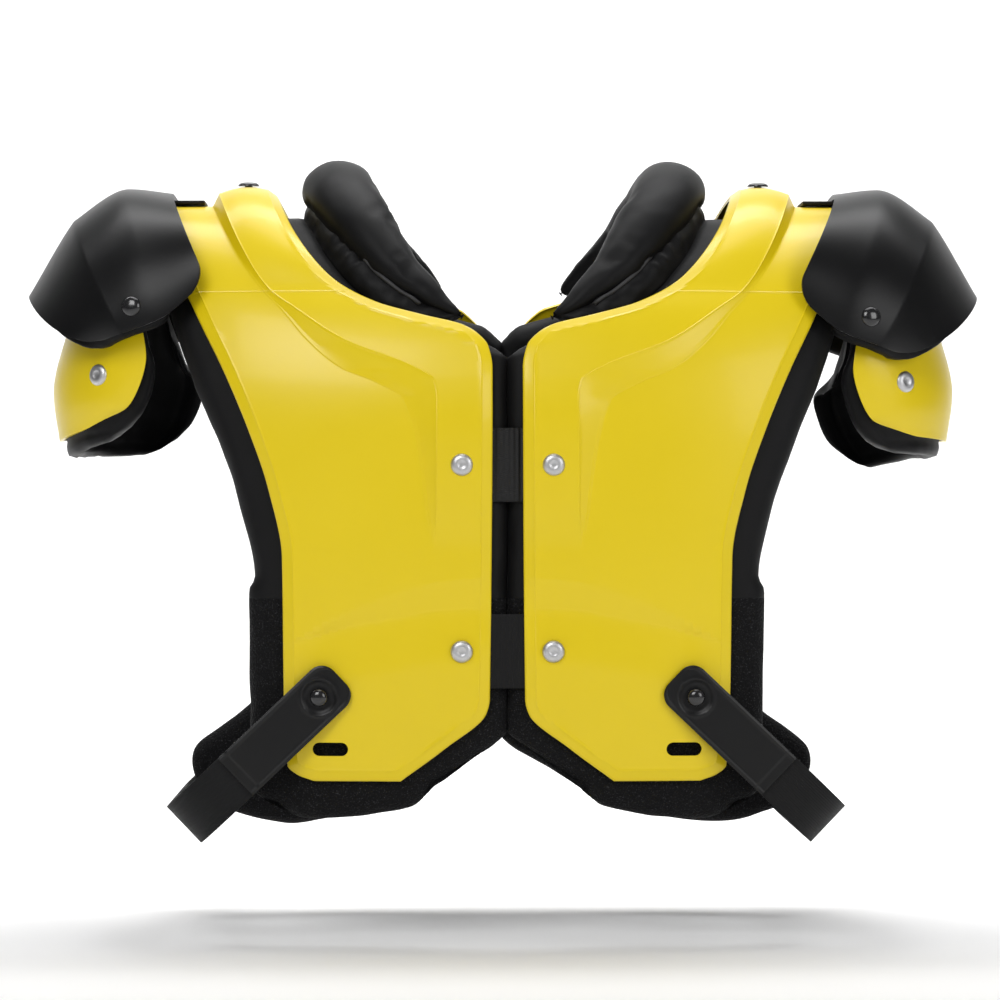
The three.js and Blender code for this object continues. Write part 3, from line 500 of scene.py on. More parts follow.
def wall(name: str, outer: np.ndarray, inner: np.ndarray, size: tuple[float, float]) -> bpy.types.Object:
    """Closed wall between two equal grids of points in millimetres.

    Args:
        name: Name of the object.
        outer: Points of the outer face, by row and column.
        inner: Points of the inner face.
        size: Width and length that the UV map spreads over, in millimetres.

    Returns:
        The object, smooth shaded, with its place in its mesh.
    """
    rows, columns = outer.shape[:2]
    count = rows * columns
    faces = grid_faces(rows, columns, 0, False) + grid_faces(rows, columns, count, True)
    ring = [c for c in range(columns)] + [r * columns + columns - 1 for r in range(1, rows)]
    ring += [(rows - 1) * columns + c for c in range(columns - 2, -1, -1)]
    ring += [r * columns for r in range(rows - 2, 0, -1)]
    for n, a in enumerate(ring):
        b = ring[(n + 1) % len(ring)]
        faces.append((b, a, a + count, b + count))
    obj = new_object(name, np.concatenate([outer.reshape(-1, 3), inner.reshape(-1, 3)]), faces)
    across, down = np.meshgrid(np.linspace(0, size[0], columns), np.linspace(0, size[1], rows))
    flat = np.tile(np.stack([across, down], -1).reshape(-1, 2), (2, 1)) * MM
    layer = obj.data.uv_layers.new(name="UVMap")
    loops = np.zeros(len(obj.data.loops), int)
    obj.data.loops.foreach_get("vertex_index", loops)
    layer.data.foreach_set("uv", flat[loops].ravel())
    clean(obj)
    return obj


def clean(obj: bpy.types.Object) -> None:
    """Merge doubled points, point the faces outwards and shade them smooth.

    Args:
        obj: The object.
    """
    work = bmesh.new()
    work.from_mesh(obj.data)
    bmesh.ops.remove_doubles(work, verts=work.verts, dist=WELD)
    bmesh.ops.recalc_face_normals(work, faces=work.faces)
    if work.calc_volume(signed=True) < 0:
        bmesh.ops.reverse_faces(work, faces=work.faces)
    work.to_mesh(obj.data)
    work.free()
    obj.data.polygons.foreach_set("use_smooth", [True] * len(obj.data.polygons))


def alone(obj: bpy.types.Object) -> None:
    """Make an object the only selected one, and the active one.

    Args:
        obj: The object.
    """
    bpy.ops.object.select_all(action="DESELECT")
    obj.select_set(True)
    bpy.context.view_layer.objects.active = obj


def shade(obj: bpy.types.Object, angle: float) -> None:
    """Shade an object smooth but for edges sharper than an angle in degrees."""
    alone(obj)
    bpy.ops.object.shade_smooth_by_angle(angle=math.radians(angle))


def soften(obj: bpy.types.Object, width: float, angle: float = 40, segments: int = 2) -> None:
    """Round the sharp edges of an object and keep its creases crisp.

    Args:
        obj: The object.
        width: Width of the rounding in millimetres.
        angle: Angle in degrees from which an edge is rounded.
        segments: Steps of the rounding.
    """
    alone(obj)
    bevel = obj.modifiers.new("edge", "BEVEL")
    bevel.width = width * MM
    bevel.segments = segments
    bevel.limit_method = "ANGLE"
    bevel.angle_limit = math.radians(angle)
    bevel.harden_normals = False
    bpy.ops.object.modifier_apply(modifier=bevel.name)
    shade(obj, CRISP)


def edge_distance(points: np.ndarray, outline: np.ndarray) -> np.ndarray:
    """Distance from flat points to an open outline.

    Args:
        points: Flat points, last axis x and drop.
        outline: Corners of the outline.

    Returns:
        Distance of each point.
    """
    flat = points.reshape(-1, 1, 2)
    a, b = outline[None, :-1], outline[None, 1:]
    along = b - a
    t = clamp01(((flat - a) * along).sum(-1) / np.maximum((along**2).sum(-1), 1e-9))
    gap = np.linalg.norm(flat - a - along * t[..., None], axis=-1)
    return gap.min(1).reshape(points.shape[:-1])


def spread(start: list[float], end: list[float], width: np.ndarray, count: int) -> np.ndarray:
    """Shares across a width with fixed distances near both ends and even steps between.

    Args:
        start: Distances from the start, in millimetres.
        end: Distances from the end, in millimetres.
        width: Width of each row.
        count: Number of even steps between.

    Returns:
        Shares from 0 to 1, by row and column.
    """
    width = np.asarray(width, float)[:, None]
    first = np.array(start)[None] / width
    last = 1 - np.array(end[::-1])[None] / width
    low, high = first[:, -1:], last[:, :1]
    middle = low + (high - low) * np.linspace(0, 1, count + 1)[None, 1:-1]
    return np.concatenate([first, middle, last], 1)


# Finishes

# Places and sizes in metres: where the liners' cloth changes, and the parting line across a plate's shoulder
CLOTH_CHANGE = -0.2147
SEAM_HEIGHT = -0.0325
SEAM_START = 0.096
SEAM_RISE = 0.00022
# Cross threads of a woven strap per metre, and their height against the ribs
WEFT = 900
WEFT_SHARE = 0.35
# Wear shared by all finishes: how much darker it gets than lighter, and how far it sways the roughness
DARKER = 1.2
FINE_SHARE = 0.6
MOTTLE = 0.16
MOTTLE_MIDDLE = 0.12
COAT_ROUGHNESS = 0.12
SHEEN_ROUGHNESS = 0.4
# Brushed cloth low on the liners: loops and flecks per metre, depth of the loops and tone of the flecks
LOOPS, LOOP_DEPTH = 620.0, 0.0007
FLECKS, FLECK_TONE = 1300, (0.035, 0.035, 0.038)
LOOP_ROUGHNESS = 0.3


def socket(node: bpy.types.Node, name: str, value: object) -> None:
    """Set the constant value of one input."""
    node.inputs[name].default_value = value


class Graph:
    """Small builder for one node tree."""

    def __init__(self, tree: bpy.types.NodeTree) -> None:
        """Keep the tree."""
        self.tree = tree

    def feed(self, target: Socket, value: object) -> None:
        """Link another socket to an input, or set its constant value.

        Args:
            target: The input.
            value: A socket or a constant.
        """
        if isinstance(value, Socket):
            self.tree.links.new(value, target)
        else:
            target.default_value = value

    def add(self, kind: str, **values: object) -> bpy.types.Node:
        """Add a node and set its inputs and settings.

        Args:
            kind: Node type without its prefix.
            **values: Settings of the node, or inputs by name with underscores for spaces.

        Returns:
            The node.
        """
        node = self.tree.nodes.new("ShaderNode" + kind)
        for word, value in values.items():
            name = word.replace("_", " ")
            if name in node.inputs:
                self.feed(node.inputs[name], value)
            else:
                setattr(node, word, value)
        return node

    def math(self, operation: str, a: object, b: object = 0.0, c: object = 0.0) -> Socket:
        """Result of a Math node.

        Args:
            operation: Name of the operation.
            a: First value or socket.
            b: Second value or socket.
            c: Third value or socket.

        Returns:
            The node's output.
        """
        node = self.add("Math", operation=operation)
        for n, value in enumerate((a, b, c)):
            self.feed(node.inputs[n], value)
        return node.outputs[0]

    def colour(self, factor: object, a: object, b: object) -> Socket:
        """Blend of two colours, each a socket or three numbers.

        Args:
            factor: Socket that blends from the first to the second.
            a: First value or socket.
            b: Second value or socket.

        Returns:
            The node's output.
        """
        node = self.add("Mix", data_type="RGBA")
        self.feed(node.inputs["Factor"], factor)
        for n, value in ((6, a), (7, b)):
            self.feed(node.inputs[n], (*value, 1) if isinstance(value, tuple) else value)
        return node.outputs[2]

    def ramp(self, value: object, low: float, high: float, start: float = 0.0) -> Socket:
        """Value from start at a low to its opposite, 1 or 0, at a high."""
        node = self.add("MapRange", Value=value, From_Min=low, From_Max=high, To_Min=start, To_Max=1 - start)
        return node.outputs[0]

    def place(self) -> Socket:
        """Object coordinates."""
        return self.add("TexCoord").outputs["Object"]

    def noise(self, where: Socket, scale: float, detail: float = 3, rough: float = 0.5) -> Socket:
        """Value of a Noise Texture."""
        return self.add("TexNoise", Vector=where, Scale=scale, Detail=detail, Roughness=rough).outputs["Fac"]


def wear_group() -> bpy.types.NodeTree:
    """Node group shared by all finishes.

    Returns:
        A group that gives a broad mottle and a fine grain, both from 0 to 1.
    """
    found = bpy.data.node_groups.get("wear")
    if found:
        return found
    group = bpy.data.node_groups.new("wear", "ShaderNodeTree")
    group.interface.new_socket("Place", in_out="INPUT", socket_type="NodeSocketVector")
    group.interface.new_socket("Grain", in_out="INPUT", socket_type="NodeSocketFloat")
    group.interface.new_socket("Broad", in_out="OUTPUT", socket_type="NodeSocketFloat")
    group.interface.new_socket("Fine", in_out="OUTPUT", socket_type="NodeSocketFloat")
    g = Graph(group)
    given = group.nodes.new("NodeGroupInput")
    made = group.nodes.new("NodeGroupOutput")
    broad = g.noise(given.outputs["Place"], 14, 4, 0.6)
    fine = g.add("TexNoise", Vector=given.outputs["Place"], Scale=given.outputs["Grain"], Detail=2.0)
    group.links.new(broad, made.inputs["Broad"])
    group.links.new(fine.outputs["Fac"], made.inputs["Fine"])
    return group


@dataclass(frozen=True)
class Finish:
    """Looks of one material.

    The grain is a fine noise in the surface, the ribs run across or along the piece's own UV map.
    """

    name: str
    colour: tuple[float, float, float]
    roughness: float
    metallic: float = 0.0
    coat: float = 0.0
    sheen: float = 0.0
    grain: float = 900.0
    grain_depth: float = 0.00002
    wear: float = 0.06
    rib: float = 0.0
    rib_axis: int = 0
    rib_depth: float = 0.0003
    weave: bool = False
    speckle: bool = False
    seam: bool = False
    specular: float = 0.5

    def build(self) -> bpy.types.Material:
        """Make the material.

        Returns:
            The material, with noise in its colour and roughness and relief in its normal.
        """
        made = bpy.data.materials.new(self.name)
        made.use_nodes = True
        made.node_tree.nodes.clear()
        g = Graph(made.node_tree)
        where = g.place()
        wear = g.tree.nodes.new("ShaderNodeGroup")
        wear.node_tree = wear_group()
        g.tree.links.new(where, wear.inputs["Place"])
        socket(wear, "Grain", self.grain)
        broad, fine = wear.outputs["Broad"], wear.outputs["Fine"]
        dark = tuple(c * (1 - DARKER * self.wear) for c in self.colour)
        light = tuple(min(1.0, c * (1 + self.wear)) for c in self.colour)
        colour = g.colour(broad, dark, light)
        mottle = g.math("ADD", broad, g.math("MULTIPLY", fine, FINE_SHARE))
        rough = g.math("MULTIPLY_ADD", mottle, MOTTLE, self.roughness - MOTTLE_MIDDLE)
        height = g.math("MULTIPLY", fine, self.grain_depth)
        if self.speckle:
            colour, rough, height = self.speckled(g, where, colour, rough, height)
        if self.rib:
            height = g.math("ADD", height, self.ribs(g))
        if self.seam:
            height = g.math("ADD", height, self.seam_line(g, where))
        bump = g.add("Bump", Height=height, Strength=1.0, Distance=1.0)
        shader = g.add("BsdfPrincipled", Base_Color=colour, Roughness=rough, Normal=bump.outputs[0],
                       Metallic=self.metallic, Specular_IOR_Level=self.specular, Coat_Weight=self.coat,
                       Coat_Roughness=COAT_ROUGHNESS, Sheen_Weight=self.sheen, Sheen_Roughness=SHEEN_ROUGHNESS)
        output = g.add("OutputMaterial")
        made.node_tree.links.new(shader.outputs[0], output.inputs["Surface"])
        return made

    def ribs(self, g: Graph) -> Socket:
        """Height of ribs of that pitch along one axis of the UV map.

        Args:
            g: Builder of the node tree.

        Returns:
            The height.
        """
        uv = g.add("UVMap", uv_map="UVMap").outputs[0]
        parts = g.add("SeparateXYZ", Vector=uv)
        phase = g.math("MULTIPLY", parts.outputs[self.rib_axis], 2 * math.pi * self.rib)
        ridge = g.math("MULTIPLY", g.math("SINE", phase), self.rib_depth)
        if not self.weave:
            return ridge
        cross = g.math("MULTIPLY", parts.outputs[1 - self.rib_axis], 2 * math.pi * WEFT)
        return g.math("MULTIPLY_ADD", g.math("SINE", cross), self.rib_depth * WEFT_SHARE, ridge)

    def speckled(
        self, g: Graph, where: Socket, colour: Socket, rough: Socket, height: Socket
    ) -> tuple[Socket, Socket, Socket]:
        """Brushed loops with pale flecks low down, smooth cloth higher up.

        Args:
            g: Builder of the node tree.
            where: Coordinates.
            colour: Colour so far.
            rough: Roughness so far.
            height: Height so far.

        Returns:
            The new colour, roughness and height.
        """
        height_at = g.add("SeparateXYZ", Vector=where).outputs[2]
        low = g.ramp(height_at, CLOTH_CHANGE - 0.0005, CLOTH_CHANGE + 0.0005, start=1.0)
        loops = g.add("TexVoronoi", Vector=where, Scale=LOOPS).outputs["Distance"]
        fleck = g.math("MULTIPLY", g.ramp(g.noise(where, FLECKS, 1, 0.4), 0.6, 0.75), low)
        height = g.math("ADD", height, g.math("MULTIPLY", g.math("MULTIPLY", loops, low), -LOOP_DEPTH))
        rough = g.math("MULTIPLY_ADD", low, LOOP_ROUGHNESS, rough)
        return g.colour(fleck, colour, FLECK_TONE), rough, height

    def seam_line(self, g: Graph, where: Socket) -> Socket:
        """Fine parting line across the shoulder of the plate.

        Args:
            g: Builder of the node tree.
            where: Coordinates.

        Returns:
            The height.
        """
        parts = g.add("SeparateXYZ", Vector=where)
        off = g.math("ABSOLUTE", g.math("SUBTRACT", parts.outputs[2], SEAM_HEIGHT))
        line = g.ramp(off, 0.0002, 0.0006, start=1.0)
        out = g.math("GREATER_THAN", g.math("ABSOLUTE", parts.outputs[0]), SEAM_START)
        front = g.math("LESS_THAN", parts.outputs[1], 0.0)
        mask = g.math("MULTIPLY", line, g.math("MULTIPLY", out, front))
        return g.math("MULTIPLY", mask, SEAM_RISE)


CLOTH_BLACK = (0.004, 0.004, 0.0045)
DEEP_BLACK = (0.0035, 0.0035, 0.004)

FINISHES = {
    "yellow_shell": Finish("yellow plastic", (0.80, 0.60, 0.006), 0.32, coat=0.12, specular=0.4,
                           grain=1500, grain_depth=0.000012, wear=0.03, seam=True),
    "black_shell": Finish("black plastic", DEEP_BLACK, 0.36, specular=0.26,
                          grain=2200, grain_depth=0.00003, wear=0.12),
    "strap_black": Finish("coated strap", DEEP_BLACK, 0.34, specular=0.34,
                          grain=1800, grain_depth=0.00002, wear=0.12),
    "pad_cloth": Finish("pad cloth", CLOTH_BLACK, 0.6, sheen=0.015, specular=0.2,
                        grain=1600, grain_depth=0.00004, wear=0.2, speckle=True),
    "satin_cloth": Finish("satin cloth", CLOTH_BLACK, 0.5, sheen=0.01, specular=0.16,
                          grain=2400, grain_depth=0.00003, wear=0.2),
    "elastic_black": Finish("ribbed elastic", CLOTH_BLACK, 0.5, sheen=0.015, specular=0.3,
                            rib=330, rib_depth=0.00018, wear=0.15, weave=True),
    "elastic_plain": Finish("plain elastic", (0.003, 0.003, 0.0035), 0.6, specular=0.25,
                            rib=700, rib_depth=0.00005, wear=0.15, weave=True),
    "rivet_steel": Finish("polished steel", (0.6, 0.6, 0.61), 0.42, metallic=1.0,
                          grain=2600, grain_depth=0.000006, wear=0.08),
    "rivet_black": Finish("black rivet", (0.010, 0.010, 0.011), 0.2, coat=0.6,
                          grain=2600, grain_depth=0.000006, wear=0.1),
    "thread": Finish("thread", (0.03, 0.03, 0.032), 0.6, grain=3000, grain_depth=0.00004, wear=0.2),
}


@dataclass
class Kit:
    """Materials and the pieces built so far."""

    materials: dict[str, bpy.types.Material] = field(default_factory=dict)
    pieces: list[bpy.types.Object] = field(default_factory=list)

    def finish(self, word: str) -> bpy.types.Material:
        """The material of that name, made once.

        Args:
            word: Name of the finish.

        Returns:
            The material.
        """
        if word not in self.materials:
            self.materials[word] = FINISHES[word].build()
        return self.materials[word]

    def hand_over(self, obj: bpy.types.Object, finish: str, *nodes: str, slot: str | None = None) -> None:
        """Give a piece its finish and let it stand for its solid parts.

        Args:
            obj: The piece.
            finish: Name of the finish.
            *nodes: Solid parts that it stands for.
            slot: Not used.
        """
        obj.data.materials.clear()
        obj.data.materials.append(self.finish(finish))
        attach(obj, "root")
        if nodes:
            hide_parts(*nodes)
        self.pieces.append(obj)
        log.info("built %s", obj.name)


# Sub-assemblies


@dataclass
class BodyPlate:
    """Moulded arch from the chest over the shoulder to the back."""

    side: Side
    border: float = 6.4
    border_fall: float = 1.9
    bead: float = 0.3
    bead_half: float = 0.55
    step_bead_half: float = 0.5
    step_bead_rise: float = 1.2
    edge_wall: float = 1.2
    lip: float = 1.0
    lip_fall: float = 0.7
    band_fall: float = 2.6
    band_fade: float = 34.0
    band_least: float = 6.0
    crisp: float = 7.5
    slot_reach: tuple[float, float] = (-15, 12)

    def rows(self, face: Face) -> np.ndarray:
        """Shares of the length at which the plate has points, closer where its outline turns.

        Args:
            face: Chest or back.

        Returns:
            The shares.
        """
        chest = [(0, 0.165, 26), (0.165, 0.31, 64), (0.31, 0.62, 60),
                 (0.62, 0.8, 84), (0.8, 0.97, 36), (0.97, 1, 14)]
        back = [(0, 0.21, 46), (0.21, 0.85, 60), (0.85, 1, 34)]
        return np.append(steps_between(chest if face is Face.FRONT else back), 1.0)

    def columns(self, lines: dict[str, np.ndarray]) -> tuple[np.ndarray, np.ndarray, np.ndarray]:
        """Distances from the middle, panel shares and crown shares, by row and column.

        Args:
            lines: Distances from the middle of the edges and the step.

        Returns:
            The three grids.
        """
        rim = [0, 0.35, 0.9, 2.2, 4.2, 5.9, 6.4, 6.9, 8.0]
        line = [0, 0.5, 1.2]
        low = spread(rim, line, lines["armhole"] - lines["foot"], 14)
        high = spread(line, rim, lines["crest"] - lines["neck"], 16)
        steps = np.linspace(0, 1, 8)[None, 1:-1] * np.ones_like(low[:, :1])
        blocks = (("armhole", "foot", low), ("foot", "crest", steps), ("crest", "neck", high))
        x = np.concatenate([mix(lines[a][:, None], lines[b][:, None], share) for a, b, share in blocks], 1)
        panel = np.concatenate([0 * low, steps, 0 * high + 1], 1)
        crown = np.concatenate([0 * low, 0 * steps, 4 * high * (1 - high)], 1)
        return x, panel, crown

    def band(self, x: np.ndarray, drop: np.ndarray) -> np.ndarray:
        """Depth of the band pressed across the lower chest.

        Args:
            x: Distances from the middle.
            drop: Drops below the ridge.

        Returns:
            The depths in millimetres.
        """
        upper, lower = BAND["upper"](x), BAND["lower"](x)
        t = clamp01((drop - upper) / (lower - upper))
        back = clamp01(1 - (drop - lower) / self.band_fade)
        depth = self.band_fall * np.where(drop < lower, t, back * back * (3 - 2 * back))
        return depth * clamp01((lower - upper) / self.band_least)

    def half(self, face: Face) -> tuple[np.ndarray, np.ndarray]:
        """Outer and inner points of the chest or back half.

        Args:
            face: Chest or back.

        Returns:
            Both grids of points.
        """
        share = self.rows(face)
        lines = plate_lines(share, face)
        x, panel, crown = self.columns(lines)
        down = share * S.length(face)
        drop = down[:, None] * np.ones_like(x)
        rise = S.bridge_rise * (STEP["rise"](share) if face is Face.FRONT else clamp01(1 - share / BRIDGE_FADE))
        height = panel * rise[:, None] + crown * (S.bridge_crown * clamp01(1 - share / CROWN_FADE))[:, None]
        armhole, neck = (np.stack([lines[word], down], -1) for word in ("armhole", "neck"))
        outline = np.concatenate([armhole, neck[::-1]])
        gap = edge_distance(np.stack([x, drop], -1), outline)
        border, lip = (clamp01(1 - gap / width) for width in (self.border, self.lip))
        bevel = self.border_fall * border + self.lip_fall * lip**2
        bevel = bevel - self.bead * bell(gap, self.border, self.bead_half)
        inside = height
        if face is Face.FRONT:
            beads = sum(bell(x, lines[word][:, None], self.step_bead_half) for word in ("foot", "crest"))
            height = height + self.bead * beads * clamp01(rise / self.step_bead_rise)[:, None]
            band = self.band(x, drop)
            height = height - band * clamp01(gap / self.border)
            inside = inside - band
        flat = self.side.value * x
        outer = torso(flat, drop, face, S.standoff + S.plate + height - bevel)
        inner = torso(flat, drop, face, S.standoff + np.minimum(inside, height - bevel + self.edge_wall))
        return outer, inner

    def build(self, kit: Kit) -> None:
        """Make the plate and cut its slot.

        Args:
            kit: Materials and pieces built so far.
        """
        front, back = self.half(Face.FRONT), self.half(Face.BACK)
        outer, inner = (np.concatenate([back[n][:0:-1], front[n]]) for n in (0, 1))
        plate = wall(self.side.word + "_plate_shell", outer, inner, (110, 718))
        self.cut_slot(plate)
        shade(plate, self.crisp)
        kit.hand_over(plate, "yellow_shell", self.side.word + "_body_plate")

    def cut_slot(self, plate: bpy.types.Object) -> None:
        """Cut the rounded slot near the hem.

        Args:
            plate: The plate.
        """
        radius = S.slot_height / 2
        half = S.slot_length / 2 - radius
        centre = torso(self.side.value * S.slot_out, S.slot_drop, Face.FRONT, S.standoff)
        turns = [
            (x, math.radians(a)) for x, low in ((half, -90), (-half, 90)) for a in np.linspace(low, low + 180, 13)
        ]
        ring = [(x + radius * math.cos(a), radius * math.sin(a)) for x, a in turns]
        count = len(ring)
        points = [(centre[0] + x, centre[1] + y, centre[2] + z) for y in self.slot_reach for x, z in ring]
        faces = [tuple(range(count))[::-1], tuple(range(count, 2 * count))]
        faces += [(n, (n + 1) % count, (n + 1) % count + count, n + count) for n in range(count)]
        tool = new_object("slot", points, faces)
        clean(tool)
        alone(plate)
        cut = plate.modifiers.new("slot", "BOOLEAN")
        cut.operation = "DIFFERENCE"
        cut.solver = "MANIFOLD"
        cut.object = tool
        bpy.ops.object.modifier_apply(modifier=cut.name)
        bpy.data.objects.remove(tool)


@dataclass
class Liner:
    """Cloth-covered foam under one half of the plate."""

    side: Side
    face: Face
    columns: int = 44
    edge: float = 9.0
    fuller: float = 3.5
    fuller_start: float = 0.62
    corner_rise: float = 9.0
    front_corner: float = 0.22
    back_corner: float = 0.45
    inner_corner: float = 0.14
    fold: float = 0.9
    swell: float = 1.5

    def surface(self) -> tuple[np.ndarray, np.ndarray, np.ndarray]:
        """Distances from the middle, drops and depth of the rounding at the edges.

        Returns:
            Three grids.
        """
        share = steps_between([(0, 0.26, 46), (0.26, 0.84, 62), (0.84, 0.985, 26)])
        share = np.append(share, 1 - 0.015 * np.linspace(1, 0, 9) ** 2)
        outer, inner = liner_edges(share, self.face)
        at = (1 - np.cos(np.pi * np.linspace(0, 1, self.columns))) / 2
        if self.face is Face.BACK:
            rise = S.back_hem_rise * at + self.corner_rise * np.maximum(0, 1 - at / self.back_corner) ** 2
        else:
            outer = outer + self.fuller * clamp01((share - self.fuller_start) * 60)
            rise = S.front_hem_rise * at**S.hem_round
            rise = rise + self.corner_rise * np.maximum(0, 1 - at / self.front_corner) ** 2
            rise = rise + self.corner_rise * np.maximum(0, 1 - (1 - at) / self.inner_corner) ** 2
        x = outer[:, None] + (inner - outer)[:, None] * at
        drop = S.liner_drop(share[:, None], self.face, rise[None] * share[:, None] ** 3)
        flat = np.stack([x, drop], -1)
        gap = edge_distance(flat, np.concatenate([flat[:, 0], flat[-1], flat[::-1, -1]]))
        return x, drop, rounded(gap, self.edge)

    def build(self, kit: Kit) -> None:
        """Make the cushion with its folds.

        Args:
            kit: Materials and pieces built so far.
        """
        x, drop, rounding = self.surface()
        half = S.liner / 2
        depths = (-half * rounding, -S.liner + half * rounding)
        sides = [torso(self.side.value * x, drop, self.face, depth) for depth in depths]
        word = "front" if self.face is Face.FRONT else "back"
        pad = wall(f"{self.side.word}_{word}_cushion", sides[0], sides[1], (140, 390))
        crumple(pad, self.fold, Vector((34, 34, 22)), 3 + self.side.value + self.face.value)
        puff(pad, self.swell, seam_pins(pad, sides, drop))
        kit.hand_over(pad, "pad_cloth", f"{self.side.word}_{word}_pad")


def crumple(obj: bpy.types.Object, depth: float, pitch: Vector, seed: float) -> None:
    """Push points in and out along their normals in soft folds.

    Args:
        obj: The cloth piece.
        depth: Furthest push in millimetres.
        pitch: Folds per metre along each axis.
        seed: Shifts the folds from piece to piece.
    """
    count = len(obj.data.vertices)
    points, normals = np.empty(count * 3), np.empty(count * 3)
    obj.data.vertices.foreach_get("co", points)
    obj.data.vertices.foreach_get("normal", normals)
    places = points.reshape(-1, 3) * np.array(pitch) + seed * np.array([1, 2, 3])
    folds = [noise.noise(Vector(place)) + 0.5 * noise.noise(Vector(place * 2.3)) for place in places]
    points += (normals.reshape(-1, 3) * np.array(folds)[:, None] * depth * MM).ravel()
    obj.data.vertices.foreach_set("co", points)
    obj.data.update()


# How the covers fill out: steps of the simulation and settings of the cloth
PUFF_FRAMES = 14
COVER = {
    "quality": 4,
    "mass": 0.25,
    "tension_stiffness": 12,
    "compression_stiffness": 12,
    "bending_stiffness": 0.6,
    "use_pressure": True,
    "uniform_pressure_force": 4,
    "shrink_min": -0.04,
}


def puff(obj: bpy.types.Object, cap: float, pins: list[int] | None = None) -> None:
    """Let a sewn cover fill out under pressure as cloth.

    Args:
        obj: The closed cover.
        cap: Furthest that any point may move, in millimetres.
        pins: Points that stay where they are sewn down.
    """
    start = np.empty(len(obj.data.vertices) * 3)
    obj.data.vertices.foreach_get("co", start)
    alone(obj)
    cloth = obj.modifiers.new("cover", "CLOTH")
    settings = cloth.settings
    for word, value in COVER.items():
        setattr(settings, word, value)
    settings.effector_weights.gravity = 0
    if pins:
        group = obj.vertex_groups.new(name="sewn")
        group.add(pins, 1.0, "REPLACE")
        settings.vertex_group_mass = group.name
    cloth.point_cache.frame_start = 1
    cloth.point_cache.frame_end = PUFF_FRAMES
    scene = bpy.context.scene
    for frame_number in range(1, PUFF_FRAMES + 1):
        scene.frame_set(frame_number)
    shown = obj.evaluated_get(bpy.context.evaluated_depsgraph_get())
    end = np.empty_like(start)
    shown.data.vertices.foreach_get("co", end)
    obj.modifiers.remove(cloth)
    scene.frame_set(1)
    moved = (end - start).reshape(-1, 3)
    length = np.linalg.norm(moved, axis=-1, keepdims=True)
    moved *= np.minimum(1, cap * MM / np.maximum(length, 1e-9))
    obj.data.vertices.foreach_set("co", (start.reshape(-1, 3) + moved).ravel())
    obj.data.update()


# Width of the strip at the shoulder seam that is held, in millimetres
SEAM_MARGIN = 6


def seam_pins(pad: bpy.types.Object, sides: list[np.ndarray], drop: np.ndarray) -> list[int]:
    """Points of a cushion along its shoulder seam, where it is sewn to its neighbour.

    Args:
        pad: The cushion.
        sides: Its outer and inner grid of points.
        drop: Drop of each grid point below the ridge.

    Returns:
        Numbers of the points.
    """
    near_seam = drop < SEAM_MARGIN
    top = min(float(grid[near_seam][:, 2].min()) for grid in sides)
    near = max(abs(float(grid[near_seam][:, 1].max())) for grid in sides)
    return [v.index for v in pad.data.vertices if v.co.z > top * MM and abs(v.co.y) < near * MM]


